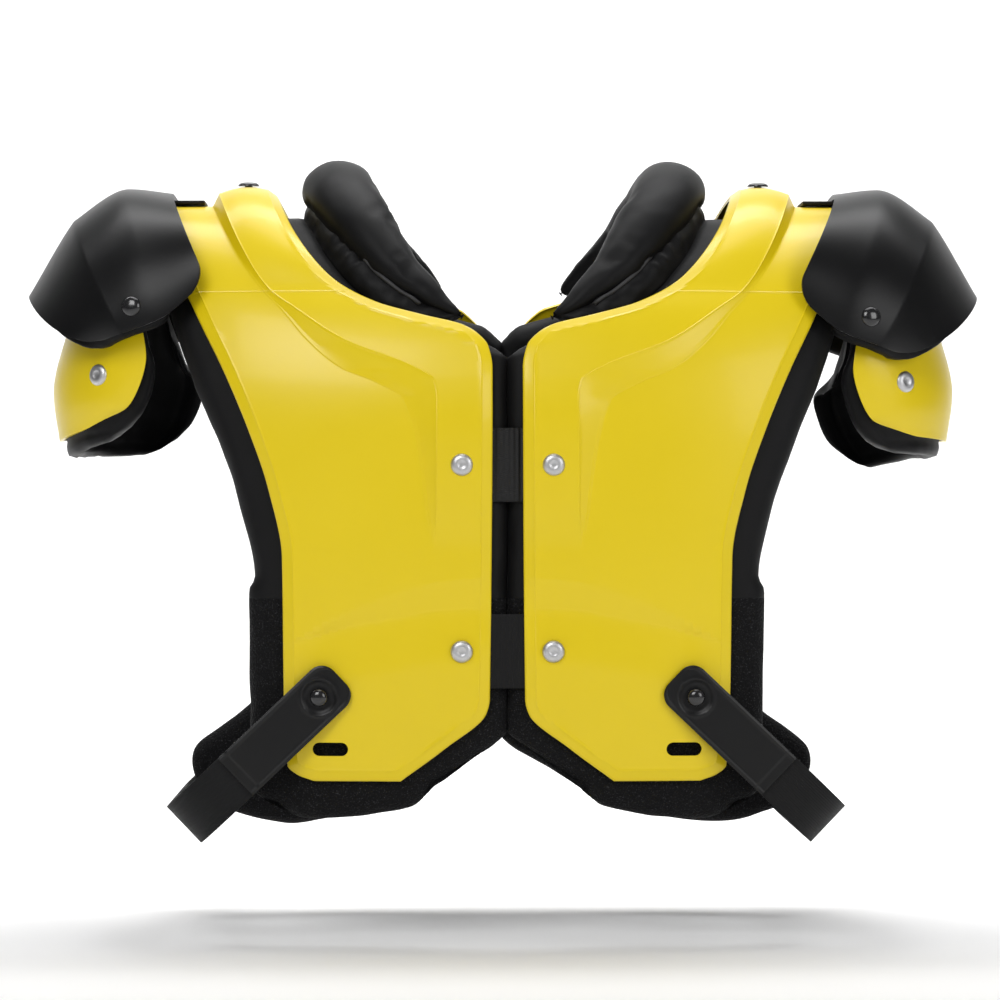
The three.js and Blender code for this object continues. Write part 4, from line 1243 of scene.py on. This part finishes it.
@dataclass
class NeckRoll:
    """Stuffed satin roll along the neck edge."""

    side: Side
    stations: int = 90
    sides: int = 40
    slack: float = 2.0
    swell: float = 2.2
    end_share: float = 0.03
    band_stations: int = 110
    band_columns: int = 26
    band_bulge: float = 6.0
    band_top: float = 3.5
    band_low: float = 4.0
    pleat: float = 0.9
    seam_column: int = 14
    piping: float = 1.3
    piping_ends: int = 5

    def liner_edge(self, station: float, over: float, depth: float, hem_rise: float) -> np.ndarray:
        """Point of the liner's neck edge beside a station of the roll.

        Args:
            station: Station of the roll, -1 to 1.
            over: Distance outwards past the edge, in millimetres.
            depth: Distance outwards from the liner's face.
            hem_rise: How far the hem rises at its middle.

        Returns:
            The point.
        """
        face = Face.FRONT if station < 0 else Face.BACK
        share = np.array([abs(station) * ROLL_END * (1 if face is Face.FRONT else S.roll_back_reach)])
        rise = hem_rise * share[0] if face is Face.BACK else 0
        inner = liner_edges(share, face)[1]
        return torso(self.side.value * (inner + over), S.liner_drop(share, face, rise), face, depth)[0]

    def middle(self, station: np.ndarray) -> tuple[np.ndarray, np.ndarray]:
        """Centre and radius of the roll from its front tip at -1 to its back tip at 1.

        Args:
            station: Stations from -1 in front to 1 at the back.

        Returns:
            Both by station.
        """
        drop = np.abs(station) * ROLL_END
        centres = np.array([self.liner_edge(s, 0, -S.liner / 2, S.back_hem_rise) for s in station])
        centres[:, 0] -= self.side.value * S.roll_radius * ROLL["inward"](drop)
        centres[:, 2] += S.roll_radius * ROLL["lift"](drop)
        return centres, S.roll_radius * ROLL["radius"](drop)

    def rings(self, angles: np.ndarray) -> np.ndarray:
        """Points round the roll by station and angle, closer together at its ends.

        Args:
            angles: Angles round the roll, in radians.

        Returns:
            The points by station and angle.
        """
        even = np.linspace(-1, 1, self.stations)
        station = mix(even, np.sin(even * math.pi / 2), 0.35)
        centre, radius = self.middle(station)
        ends = np.sqrt(np.maximum(0, 1 - clamp01((np.abs(station) - 1 + self.end_share) / self.end_share) ** 2))
        kernel = np.ones(7) / 7
        along = np.gradient(centre, axis=0)
        padded = np.pad(along, ((3, 3), (0, 0)), mode="edge")
        along = unit(np.stack([np.convolve(column, kernel, mode="valid") for column in padded.T], -1))
        sideways = unit(np.cross(np.array([0, 0, 1.0]), along))
        up = S.roll_flat * np.cross(along, sideways)
        cos, sin = (f(angles)[None, :, None] for f in (np.cos, np.sin))
        reach = (radius * ends - self.slack)[:, None, None]
        return centre[:, None] + reach * (sideways[:, None] * cos + up[:, None] * sin)

    def build(self, kit: Kit) -> None:
        """Make the roll and the piping along its seam.

        Args:
            kit: Materials and pieces built so far.
        """
        angles = np.linspace(0, 2 * math.pi, self.sides + 1)
        roll = tube(self.side.word + "_stuffed_roll", self.rings(angles)[:, :-1])
        crumple(roll, 0.5, Vector((60, 40, 60)), 7 + self.side.value)
        puff(roll, self.swell)
        kit.hand_over(roll, "satin_cloth", self.side.word + "_neck_roll")
        self.collar(kit)

    def collar(self, kit: Kit) -> None:
        """Gathered band that joins the roll to the liner's neck edge, with its piping.

        Args:
            kit: Materials and pieces built so far.
        """
        station = np.linspace(-1, 1, self.band_stations)
        centre, radius = self.middle(station)
        edge = np.array([self.liner_edge(s, 3, -5.0, 0) for s in station])
        share = np.linspace(0, 1, self.band_columns)[None, :, None]
        along = unit(np.gradient(centre, axis=0))
        across = centre - edge
        normal = unit(np.cross(across, along))
        normal *= np.where(normal[:, 2:] < 0, -1, 1)
        normal = normal[:, None]
        base = edge[:, None] + across[:, None] * share
        bulge = np.minimum(self.band_bulge, radius * 0.35)[:, None, None]
        bulge = bulge * np.sin(np.pi * np.minimum(1, share * 1.25))
        waves = np.sin(station * 58 + 2 * np.sin(station * 13))[:, None, None]
        raised = bulge + waves * self.pleat * np.sin(np.pi * share) ** 2
        top = base + normal * (raised + self.band_top)
        band = wall(self.side.word + "_collar_band", top, base - normal * self.band_low, (40, 220))
        crumple(band, 0.8, Vector((90, 90, 90)), 17 + self.side.value)
        kit.hand_over(band, "satin_cloth", slot="pad_cloth")
        column = slice(self.seam_column, self.seam_column + 1)
        seam = base[:, column] + normal * (raised[:, column] + self.band_low)
        angles = np.linspace(0, 2 * math.pi, 10, endpoint=False)[:, None]
        ring = unit(across)[:, None] * np.cos(angles) + normal * np.sin(angles)
        rings = (seam + self.piping * ring)[self.piping_ends : -self.piping_ends]
        kit.hand_over(tube(self.side.word + "_collar_piping", rings), "thread", slot="satin_cloth")


def tube(name: str, rings: np.ndarray) -> bpy.types.Object:
    """Closed tube through rings of points in millimetres, with its ends filled.

    Args:
        name: Name of the object.
        rings: Points by ring and by place round it.

    Returns:
        The object.
    """
    rows, columns = rings.shape[:2]
    faces = []
    for r in range(rows - 1):
        for c in range(columns):
            a, b = r * columns + c, r * columns + (c + 1) % columns
            faces.append((a, b, b + columns, a + columns))
    faces.append(tuple(range(columns))[::-1])
    faces.append(tuple(range((rows - 1) * columns, rows * columns)))
    obj = new_object(name, rings, faces)
    layer = obj.data.uv_layers.new(name="UVMap")
    for loop in obj.data.loops:
        r, c = divmod(loop.vertex_index, columns)
        layer.data[loop.index].uv = (c * 0.004, r * 0.003)
    clean(obj)
    return obj


def round_corners(along: np.ndarray, turn: np.ndarray, wide: float, deep: float) -> tuple[np.ndarray, np.ndarray]:
    """Pull the corners of a cap's outline in to an arc.

    Args:
        along: Places from the inner edge at 0 to the rim at 1.
        turn: Turns from the front end at -1 to the back end at 1.
        wide: Share of the width that an arc takes.
        deep: Share of the quarter turn that an arc takes.

    Returns:
        The new places and turns.
    """
    far = 2 * along - 1
    a = clamp01((np.abs(far) - 1 + 2 * wide) / (2 * wide))
    b = clamp01((np.abs(turn) - 1 + deep) / deep)
    round_a, round_b = a * np.sqrt(1 - b**2 / 2), b * np.sqrt(1 - a**2 / 2)
    far = np.where(a > 0, np.sign(far) * (1 - 2 * wide + 2 * wide * round_a), far)
    turn = np.where(b > 0, np.sign(turn) * (1 - deep + deep * round_b), turn)
    return (far + 1) / 2, turn


@dataclass
class HardCap:
    """Epaulet or shoulder cup with a rounded rim."""

    side: Side
    cap: Cap
    node: str
    finish: str
    wide: float
    deep: float
    crease: float = 2 / 3
    rows: int = 67
    columns: int = 97
    edge: float = 0.9

    def build(self, kit: Kit) -> None:
        """Make the shell.

        Args:
            kit: Materials and pieces built so far.
        """
        rows = np.unique(np.append(np.linspace(0, 1, self.rows), self.crease))
        along, turn = np.meshgrid(rows, np.linspace(-1, 1, self.columns), indexing="ij")
        along, turn = round_corners(along, turn, self.wide, self.deep)
        outer = self.cap.at(self.side, along, 90 * turn)
        inner = outer + CAP_WALL * self.cap.inwards(self.side, along, 90 * turn)
        shell = wall(f"{self.side.word}_{self.node}_shell", outer, inner, (200, 120))
        soften(shell, self.edge, 55, 3)
        kit.hand_over(shell, self.finish, f"{self.side.word}_{self.node}")


@dataclass
class CapPad:
    """Cushion inside a cap, showing past its edges."""

    side: Side
    cap: Cap
    node: str
    depth: float
    thickness: float
    start: float
    edge: float
    front: float
    rear: float
    hang: float
    rows: int = 40
    columns: int = 90
    stitched_from: float = 6.0
    seams: tuple[float, float] = (8.5, 13.5)
    quilt: float = 0.9
    quilt_half: float = 1.6
    swell: float = 1.3

    def at(self, along: np.ndarray, turn: np.ndarray, inset: float) -> np.ndarray:
        """Points at an inset from the cap.

        Args:
            along: Places from the inner edge at 0 to the rim at 1.
            turn: Turns in degrees, -90 at the front end and 90 at the back end.
            inset: Distance into the cap, in millimetres.

        Returns:
            The points, last axis x, y, z.
        """
        points = self.cap.smaller(inset).at(self.side, along, turn)
        behind = np.where(turn > 0, 1 - np.cos(np.radians(turn)), 0)
        below = clamp01((along - 0.5) * 2) ** 2
        points[..., 2] -= below * (self.edge + self.hang * behind)
        return points

    def build(self, kit: Kit) -> None:
        """Make the cushion and its stitches.

        Args:
            kit: Materials and pieces built so far.
        """
        u, v = (
            mix((1 - np.cos(np.pi * even)) / 2, even, share)
            for even, share in ((np.linspace(0, 1, self.rows), 0.6), (np.linspace(0, 1, self.columns), 0.7))
        )
        along, turn = np.meshgrid(u, 2 * v - 1, indexing="ij")
        along, turn = round_corners(along, turn, 0.14, 0.2)
        along = mix(self.start, 1, along)
        turn = mix(-90 - self.front, 90 + self.rear, (turn + 1) / 2)
        middle = self.at(along, turn, self.depth + self.thickness / 2)
        down, round_ = run_of(middle[:, self.columns // 2]), run_of(middle[3 * self.rows // 4])
        gaps = [np.minimum(run, run[-1] - run) for run in (down, round_)]
        gap = np.minimum(gaps[0][:, None], gaps[1][None])
        stitched = self.thickness > self.stitched_from
        half = self.thickness / 2 * (1 - rounded(gap, self.thickness / 2))
        half = half - stitched * self.quilt * bell(gap, sum(self.seams) / 2, self.quilt_half)
        low, high = (self.at(along, turn, depth) for depth in (self.depth, self.depth + self.thickness))
        sides = [low + (high - low) * (0.5 + sign * half / self.thickness)[..., None] for sign in (-1, 1)]
        pad = wall(f"{self.side.word}_{self.node}_cushion", sides[0], sides[1], (200, 120))
        crumple(pad, 0.45, Vector((60, 60, 60)), 11 + self.side.value)
        puff(pad, self.swell)
        kit.hand_over(pad, "satin_cloth", f"{self.side.word}_{self.node}", slot="pad_cloth")
        if stitched:
            self.stitches(kit, sides[1], round_)

    def stitches(self, kit: Kit, face: np.ndarray, round_: np.ndarray) -> None:
        """Two dashed seams along the front rim of the lining.

        Args:
            kit: Materials and pieces built so far.
            face: Inner face of the cushion.
            round_: Distances along the rim.
        """
        for n, distance in enumerate(self.seams):
            column = int(np.searchsorted(round_, distance))
            dashes(kit, f"{self.side.word}_lining_seam_{n}", face[2:-2, column])


def dashes(kit: Kit, name: str, line: np.ndarray) -> None:
    """Row of short thread stitches along a line of points in millimetres.

    Args:
        kit: Materials and pieces built so far.
        name: Name of the object.
        line: Points along the seam.
    """
    run = run_of(line)
    points, faces = [], []
    pitch, length, half = 4.6, 3.0, 0.35
    for start in np.arange(1.0, run[-1] - pitch, pitch):
        ends = [np.array([np.interp(p, run, line[:, k]) for k in range(3)]) for p in (start, start + length)]
        along = unit(ends[1] - ends[0])
        across = unit(np.cross(along, [0, -1.0, 0]))
        out = np.cross(across, along)
        first = len(points)
        for end in ends:
            for a, b in ((-1, -1), (1, -1), (1, 1), (-1, 1)):
                points.append(end + half * (across * a + out * (b + 0.2)))
        faces += [(first + a, first + b, first + c, first + d) for a, b, c, d in
                  ((3, 2, 1, 0), (4, 5, 6, 7), (0, 1, 5, 4), (1, 2, 6, 5), (2, 3, 7, 6), (3, 0, 4, 7))]
    obj = new_object(name, points, faces)
    clean(obj)
    kit.hand_over(obj, "thread", slot="pad_cloth")


@dataclass
class Elastic:
    """Band that laces the two halves."""

    word: str
    drop: float
    face: Face
    finish: str
    columns: int = 41
    rows: int = 23
    edge: float = 0.5

    def build(self, kit: Kit) -> None:
        """Make the band.

        Args:
            kit: Materials and pieces built so far.
        """
        outer = S.standoff - S.seat_gap
        x = np.linspace(-S.elastic_half_length, S.elastic_half_length, self.columns)
        drop = self.drop + np.linspace(-0.5, 0.5, self.rows) * S.elastic_width
        grid_x, grid_drop = np.meshgrid(x, drop)
        sides = [torso(grid_x, grid_drop, self.face, outer - t) for t in (0, S.elastic)]
        band = wall(self.word + "_band", sides[0], sides[1], (80, 44))
        soften(band, self.edge)
        kit.hand_over(band, self.finish, self.word, slot="elastic_black")


@dataclass
class Webbing:
    """Sewn hinge between the plate and the epaulet."""

    side: Side
    fall_share: float = 0.7
    ends: tuple[float, ...] = (0.2, 0.3, 0.4)
    rows: int = 40
    columns: int = 19
    edge: float = 0.4

    def build(self, kit: Kit) -> None:
        """Make the strap along its route.

        Args:
            kit: Materials and pieces built so far.
        """
        on_plate = S.liner + S.standoff + S.plate + S.seat_gap + S.webbing
        inside = CAP_WALL + S.flange + 4 * S.seat_gap + 0.2 + EPAULET_PAD + S.webbing_dip
        under = [EPAULET.smaller(inside).at(self.side, np.array(a), np.array(0.0)) for a in self.ends]
        route = [(S.webbing_inner, on_plate), (S.plate_reach, on_plate),
                 (S.plate_reach + S.webbing_bend, mix(on_plate, under[0][2], self.fall_share))]
        route += [(abs(point[0]), point[2]) for point in under]
        out, up = np.array(route).T
        run = run_of(np.array(route))
        at = np.linspace(0, run[-1], self.rows)
        out, up = np.interp(at, run, out), np.interp(at, run, up)
        width = np.linspace(-0.5, 0.5, self.columns) * S.webbing_width
        sides = [
            np.stack(np.broadcast_arrays(self.side.value * out[:, None], width[None], (up - t)[:, None]), -1)
            for t in (0, S.webbing)
        ]
        strap = wall(self.side.word + "_webbing_strap", sides[0], sides[1], (38, 60))
        soften(strap, self.edge)
        kit.hand_over(strap, "elastic_black", self.side.word + "_shoulder_webbing")


@dataclass
class Belt:
    """Strap and elastic loop under the arm."""

    side: Side
    corner: float = 9.5
    dish: float = 1.2
    dish_radius: float = 9.6
    rim: float = 0.35
    rim_radius: float = 11.0
    welt: float = 0.5
    welt_inset: float = 1.6
    hem: float = 0.35
    hem_length: float = 6.0
    sunk: float = 0.4
    elastic_edge: float = 0.4

    def frame(self) -> tuple[np.ndarray, np.ndarray, np.ndarray]:
        """Directions along and across the belt, and the stud's place.

        Returns:
            Three vectors.
        """
        angle = math.radians(S.belt_slope)
        along = np.array([self.side.value * math.cos(angle), 0, -math.sin(angle)])
        across = np.array([self.side.value * math.sin(angle), 0, math.cos(angle)])
        stud = torso(self.side.value * S.belt_out, S.belt_drop, Face.FRONT, S.standoff + S.plate)
        return along, across, stud

    def seat(self, face: Face) -> float:
        """Furthest the plate stands out under the flat end of the belt.

        Args:
            face: Chest or back.

        Returns:
            Distance from the middle plane, in millimetres.
        """
        along, across, stud = self.frame()
        plate = S.standoff + S.plate
        reach = []
        for p in (-S.belt_tongue, 0, S.belt_tongue):
            for w in (-0.5, 0, 0.5):
                x = stud[0] + along[0] * p + across[0] * w * S.belt_width
                z = stud[2] + along[2] * p + across[2] * w * S.belt_width
                reach.append(abs(torso(x, S.liner + plate - z, face, plate)[1]))
        return max(reach) + S.seat_gap

    def placed(self, p: np.ndarray, w: np.ndarray, y: np.ndarray) -> np.ndarray:
        """Points from belt coordinates.

        Args:
            p: Distances along the belt from its stud.
            w: Distances across the belt from its middle.
            y: Places from front to back.

        Returns:
            The points.
        """
        along, across, stud = self.frame()
        points = stud + p[..., None] * along + w[..., None] * across
        points[..., 1] = y
        return points

    def build(self, kit: Kit) -> None:
        """Make the strap and the elastic."""
        self.build_strap(kit)
        self.build_elastic(kit)

    def build_strap(self, kit: Kit) -> None:
        """Flat strap with a rounded end, a dished seat round its stud and a folded hem.

        Args:
            kit: Materials and pieces built so far.
        """
        corner, tongue = self.corner, S.belt_tongue
        turn = np.linspace(0, math.pi / 2, 12, endpoint=False)
        p = np.append(corner * (1 - np.cos(turn)) - tongue, np.linspace(corner - tongue, S.belt_strap_length, 96))
        inset = np.maximum(0, corner - (p + tongue))
        half = (S.belt_width / 2 - corner + np.sqrt(np.maximum(0, corner**2 - inset**2)))[:, None]
        grid_w = half * np.linspace(-1, 1, 45)
        grid_p = p[:, None] + 0 * grid_w
        seat = self.seat(Face.FRONT)
        far = np.hypot(grid_p, grid_w)
        dish = self.dish * bell(far, 0, self.dish_radius, 10) - self.rim * bell(far, self.rim_radius, 0.9)
        welt = self.welt * bell(half - np.abs(grid_w), self.welt_inset, 0.7)
        hem = self.hem * (grid_p > S.belt_strap_length - self.hem_length)
        top = seat + S.belt_thickness - self.sunk - dish + welt - hem
        sides = [self.placed(grid_p, grid_w, -top), self.placed(grid_p, grid_w, -seat + 0 * top)]
        strap = wall(self.side.word + "_firm_strap", sides[0], sides[1], (30, 85))
        soften(strap, 0.5, 50)
        kit.hand_over(strap, "strap_black", self.side.word + "_belt_strap")

    def build_elastic(self, kit: Kit) -> None:
        """Elastic that loops round under the arm to the back plate.

        Args:
            kit: Materials and pieces built so far.
        """
        front = self.seat(Face.FRONT) - S.seat_gap
        back = self.seat(Face.BACK) + S.elastic
        route = []
        for shrink in (0, S.elastic):
            line = [(S.belt_strap_length - S.belt_lap, -front + shrink)]
            line += [(p, -front + shrink) for p in np.linspace(52, S.belt_reach - S.belt_bend, 8)]
            for bend, low, middle in (
                (S.belt_bend, -90, S.belt_bend - front),
                (S.belt_back_bend, 0, back - S.belt_back_bend),
            ):
                for a in np.radians(np.linspace(low, low + 90, 15)):
                    radius = bend - shrink
                    line.append((S.belt_reach - bend + radius * math.cos(a), middle + radius * math.sin(a)))
            back_start = S.belt_reach - S.belt_back_bend - 6
            line += [(p, back - shrink) for p in np.linspace(back_start, -S.belt_tongue, 14)]
            route.append(np.array(line))
        w = np.linspace(-0.5, 0.5, 15) * S.belt_width
        grids = [[column + 0 * w for column in (line[:, :1], line[:, 1:])] for line in route]
        sides = [self.placed(p, w + 0 * p, q) for p, q in grids]
        band = wall(self.side.word + "_elastic_loop", sides[0], sides[1], (30, 330))
        soften(band, self.elastic_edge, 50)
        kit.hand_over(band, "elastic_plain", self.side.word + "_belt_elastic", slot="elastic_black")


class RivetStyle(Enum):
    """Head profiles as radius and height, in millimetres."""

    STEEL = (
        (6.6, 0), (6.6, 0.5), (6.2, 1.25), (5.3, 1.95), (4.2, 2.35),
        (3.2, 2.5), (2.6, 2.45), (2.1, 2.2), (1.2, 2.0), (0, 1.95),
    )
    BUTTON = ((6.2, 0), (6.2, 0.5), (5.8, 1.4), (4.9, 2.3), (3.6, 2.95), (2.0, 3.3), (0, 3.4))
    BALL = ((5.4, 0), (5.5, 0.8), (5.2, 2.2), (4.4, 3.4), (3.0, 4.25), (1.5, 4.55), (0, 4.6))

    @property
    def crest(self) -> float:
        """Height of the solid part's head."""
        return {"STEEL": 2.6, "BUTTON": 3.4, "BALL": 4.6}[self.name]


# Clinched end of every rivet: radius, and height above the end
FOOT = ((0, 0), (4.3, 0), (4.6, 0.3), (4.6, 1.1), (2.4, 1.2))
SHANK = 2.4
# Steps per metre of the grid on which doubled points of a solid part become one
GRID = 2e4


@dataclass
class Rivet:
    """Rivet that takes its place from its solid part."""

    node: str
    style: RivetStyle
    finish: str
    turns: int = 28

    def seat(self) -> tuple[Vector, Vector, float]:
        """Place under the head, outward direction and length below it, in metres.

        Returns:
            The three of them.
        """
        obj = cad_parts[self.node]
        points: dict[tuple, Vector] = {}
        linked: dict[tuple, set] = {}
        for edge in obj.data.edges:
            ends = [obj.data.vertices[index].co for index in edge.vertices]
            a, b = (tuple(round(c * GRID) for c in end) for end in ends)
            if a == b:
                continue
            points[a], points[b] = ends
            linked.setdefault(a, set()).add(b)
            linked.setdefault(b, set()).add(a)

        def height(pole: tuple) -> float:
            """How far a pole stands above the middle of the ring round it."""
            ring = linked[pole]
            return (sum((points[n] for n in ring), Vector()) / len(ring) - points[pole]).length

        poles = sorted(linked, key=lambda pole: -len(linked[pole]))[:2]
        poles.sort(key=height, reverse=True)
        apex, foot = (obj.matrix_world @ points[pole] for pole in poles)
        outward = (apex - foot).normalized()
        crest = self.style.crest * MM
        return apex - outward * crest, outward, (apex - foot).length - crest

    def build(self, kit: Kit) -> None:
        """Make the rivet as a turned body.

        Args:
            kit: Materials and pieces built so far.
        """
        place, outward, length = self.seat()
        below = -length / MM
        profile = [(radius, below + height) for radius, height in FOOT] + [(SHANK, 0), *self.style.value]
        side = outward.orthogonal().normalized()
        other = outward.cross(side)
        rings = []
        for radius, height in profile:
            middle = place + outward * height * MM
            reach = max(radius, 0.001) * MM
            rings.append([middle + (side * math.cos(a) + other * math.sin(a)) * reach
                          for a in np.linspace(0, 2 * math.pi, self.turns, endpoint=False)])
        body = tube(self.node + "_turned", np.array(rings) / MM)
        shade(body, 50)
        kit.hand_over(body, self.finish, self.node)


def rivets() -> list[Rivet]:
    """All rivets of both halves.

    Returns:
        The rivets.
    """
    made = []
    for side in Side:
        word = side.word
        for place in ("chest", "back"):
            for level in ("upper", "lower"):
                made.append(Rivet(f"{word}_{place}_rivet_{level}", RivetStyle.STEEL, "rivet_steel"))
        made.append(Rivet(f"{word}_bridge_rivet", RivetStyle.STEEL, "rivet_black"))
        for end in ("front", "back"):
            made.append(Rivet(f"{word}_epaulet_button_{end}", RivetStyle.BUTTON, "rivet_black"))
            made.append(Rivet(f"{word}_cup_rivet_{end}", RivetStyle.STEEL, "rivet_steel"))
            made.append(Rivet(f"{word}_belt_stud_{end}", RivetStyle.BALL, "rivet_black"))
    return made


@dataclass
class Studio:
    """Camera, pale sweep and soft lights."""

    distance: float = 2.6
    azimuth: float = 1.0
    aim: tuple[float, float, float] = (-0.0022, 0.0, -0.1565)
    lens: float = 151.0
    floor: float = -0.42
    floor_ends: tuple[float, float] = (-6.0, 2.0)
    half_width: float = 8.0
    curve: float = 1.5
    wall_top: float = 6.0
    surround: float = 0.12

    def build(self) -> None:
        """Set up the whole studio."""
        self.camera()
        self.sweep()
        self.lights()
        view = bpy.context.scene.view_settings
        view.view_transform = "Standard"
        view.look = "None"

    def camera(self) -> None:
        """Long lens level with the middle of the object."""
        data = bpy.data.cameras.new("camera")
        data.lens = self.lens
        data.sensor_width = 36
        camera = bpy.data.objects.new("camera", data)
        angle = math.radians(self.azimuth)
        aim = Vector(self.aim)
        camera.location = aim + Vector((-math.sin(angle), -math.cos(angle), 0)) * self.distance
        camera.rotation_euler = (aim - camera.location).to_track_quat("-Z", "Y").to_euler()
        bpy.context.collection.objects.link(camera)
        bpy.context.scene.camera = camera

    def sweep(self) -> None:
        """Pale floor that curves up into a wall far behind."""
        end = self.floor_ends[1]
        profile = [(y, self.floor) for y in self.floor_ends]
        for a in np.linspace(0.1, math.pi / 2, 14):
            profile.append((end + self.curve * math.sin(a), self.floor + self.curve * (1 - math.cos(a))))
        profile.append((end + self.curve, self.wall_top))
        points = [(x, y, z) for y, z in profile for x in (-self.half_width, self.half_width)]
        faces = [(2 * n, 2 * n + 1, 2 * n + 3, 2 * n + 2) for n in range(len(profile) - 1)]
        obj = new_object("sweep", np.array(points) / MM, faces)
        paper = bpy.data.materials.new("paper")
        paper.use_nodes = True
        g = Graph(paper.node_tree)
        shader = paper.node_tree.nodes["Principled BSDF"]
        tone = g.colour(g.noise(g.place(), 3), (0.93, 0.93, 0.93), (0.95, 0.95, 0.95))
        paper.node_tree.links.new(tone, shader.inputs["Base Color"])
        socket(shader, "Roughness", 0.9)
        obj.data.materials.append(paper)

    def lights(self) -> None:
        """Soft key from the upper front, fills from both sides and a white surround."""
        world = bpy.data.worlds.new("surround")
        world.use_nodes = True
        background = world.node_tree.nodes["Background"]
        socket(background, "Color", (1, 1, 1, 1))
        socket(background, "Strength", self.surround)
        bpy.context.scene.world = world
        self.area("key", (-0.9, -2.2, 1.4), 1.3, 33)
        self.area("fill", (1.7, -1.9, 0.6), 1.2, 16)
        self.area("top", (0.1, 0.1, 1.8), 1.4, 14)
        self.area("wall", (0.0, 0.9, 1.9), 2.5, 105, toward=(0, 3.4, 0.0))

    def area(self, name: str, place: tuple, size: float, power: float, toward: tuple = (0, 0, -0.15)) -> None:
        """Square soft light that looks at a point.

        Args:
            name: Name of the light.
            place: Where the light is, in metres.
            size: Side of the light in metres.
            power: Power in watts.
            toward: Where the light looks.
        """
        data = bpy.data.lights.new(name, "AREA")
        data.size = size
        data.energy = power
        light = bpy.data.objects.new(name, data)
        light.location = place
        light.rotation_euler = (Vector(toward) - Vector(place)).to_track_quat("-Z", "Y").to_euler()
        bpy.context.collection.objects.link(light)


def build_half(kit: Kit, side: Side) -> None:
    """Build every piece of one half.

    Args:
        kit: Materials and pieces built so far.
        side: The half.
    """
    BodyPlate(side).build(kit)
    for face in Face:
        Liner(side, face).build(kit)
    NeckRoll(side).build(kit)
    HardCap(side, EPAULET, "epaulet", "black_shell", 0.12, 0.12).build(kit)
    HardCap(side, CUP, "shoulder_cup", "yellow_shell", 0.2, 0.3).build(kit)
    CapPad(side, EPAULET, "epaulet_pad", EPAULET_PAD_DEPTH, EPAULET_PAD, 0.2, 5, 2, 2, 0).build(kit)
    CapPad(side, CUP, "cup_pad", CUP_PAD_DEPTH, CUP_PAD, 0.05, 10, 8, 26, 8).build(kit)
    Webbing(side).build(kit)
    Belt(side).build(kit)


def main() -> None:
    """Build the pads and the studio."""
    logging.basicConfig(level=logging.INFO)
    kit = Kit()
    for side in Side:
        build_half(kit, side)
    for face, place in ((Face.FRONT, "chest"), (Face.BACK, "back")):
        Elastic(place + "_elastic_upper", S.upper_elastic_drop, face, "elastic_black").build(kit)
        Elastic(place + "_elastic_lower", S.lower_elastic_drop, face, "elastic_plain").build(kit)
    for rivet in rivets():
        rivet.build(kit)
    Studio().build()
    log.info("%d pieces", len(kit.pieces))


if __name__ == "__main__":
    main()
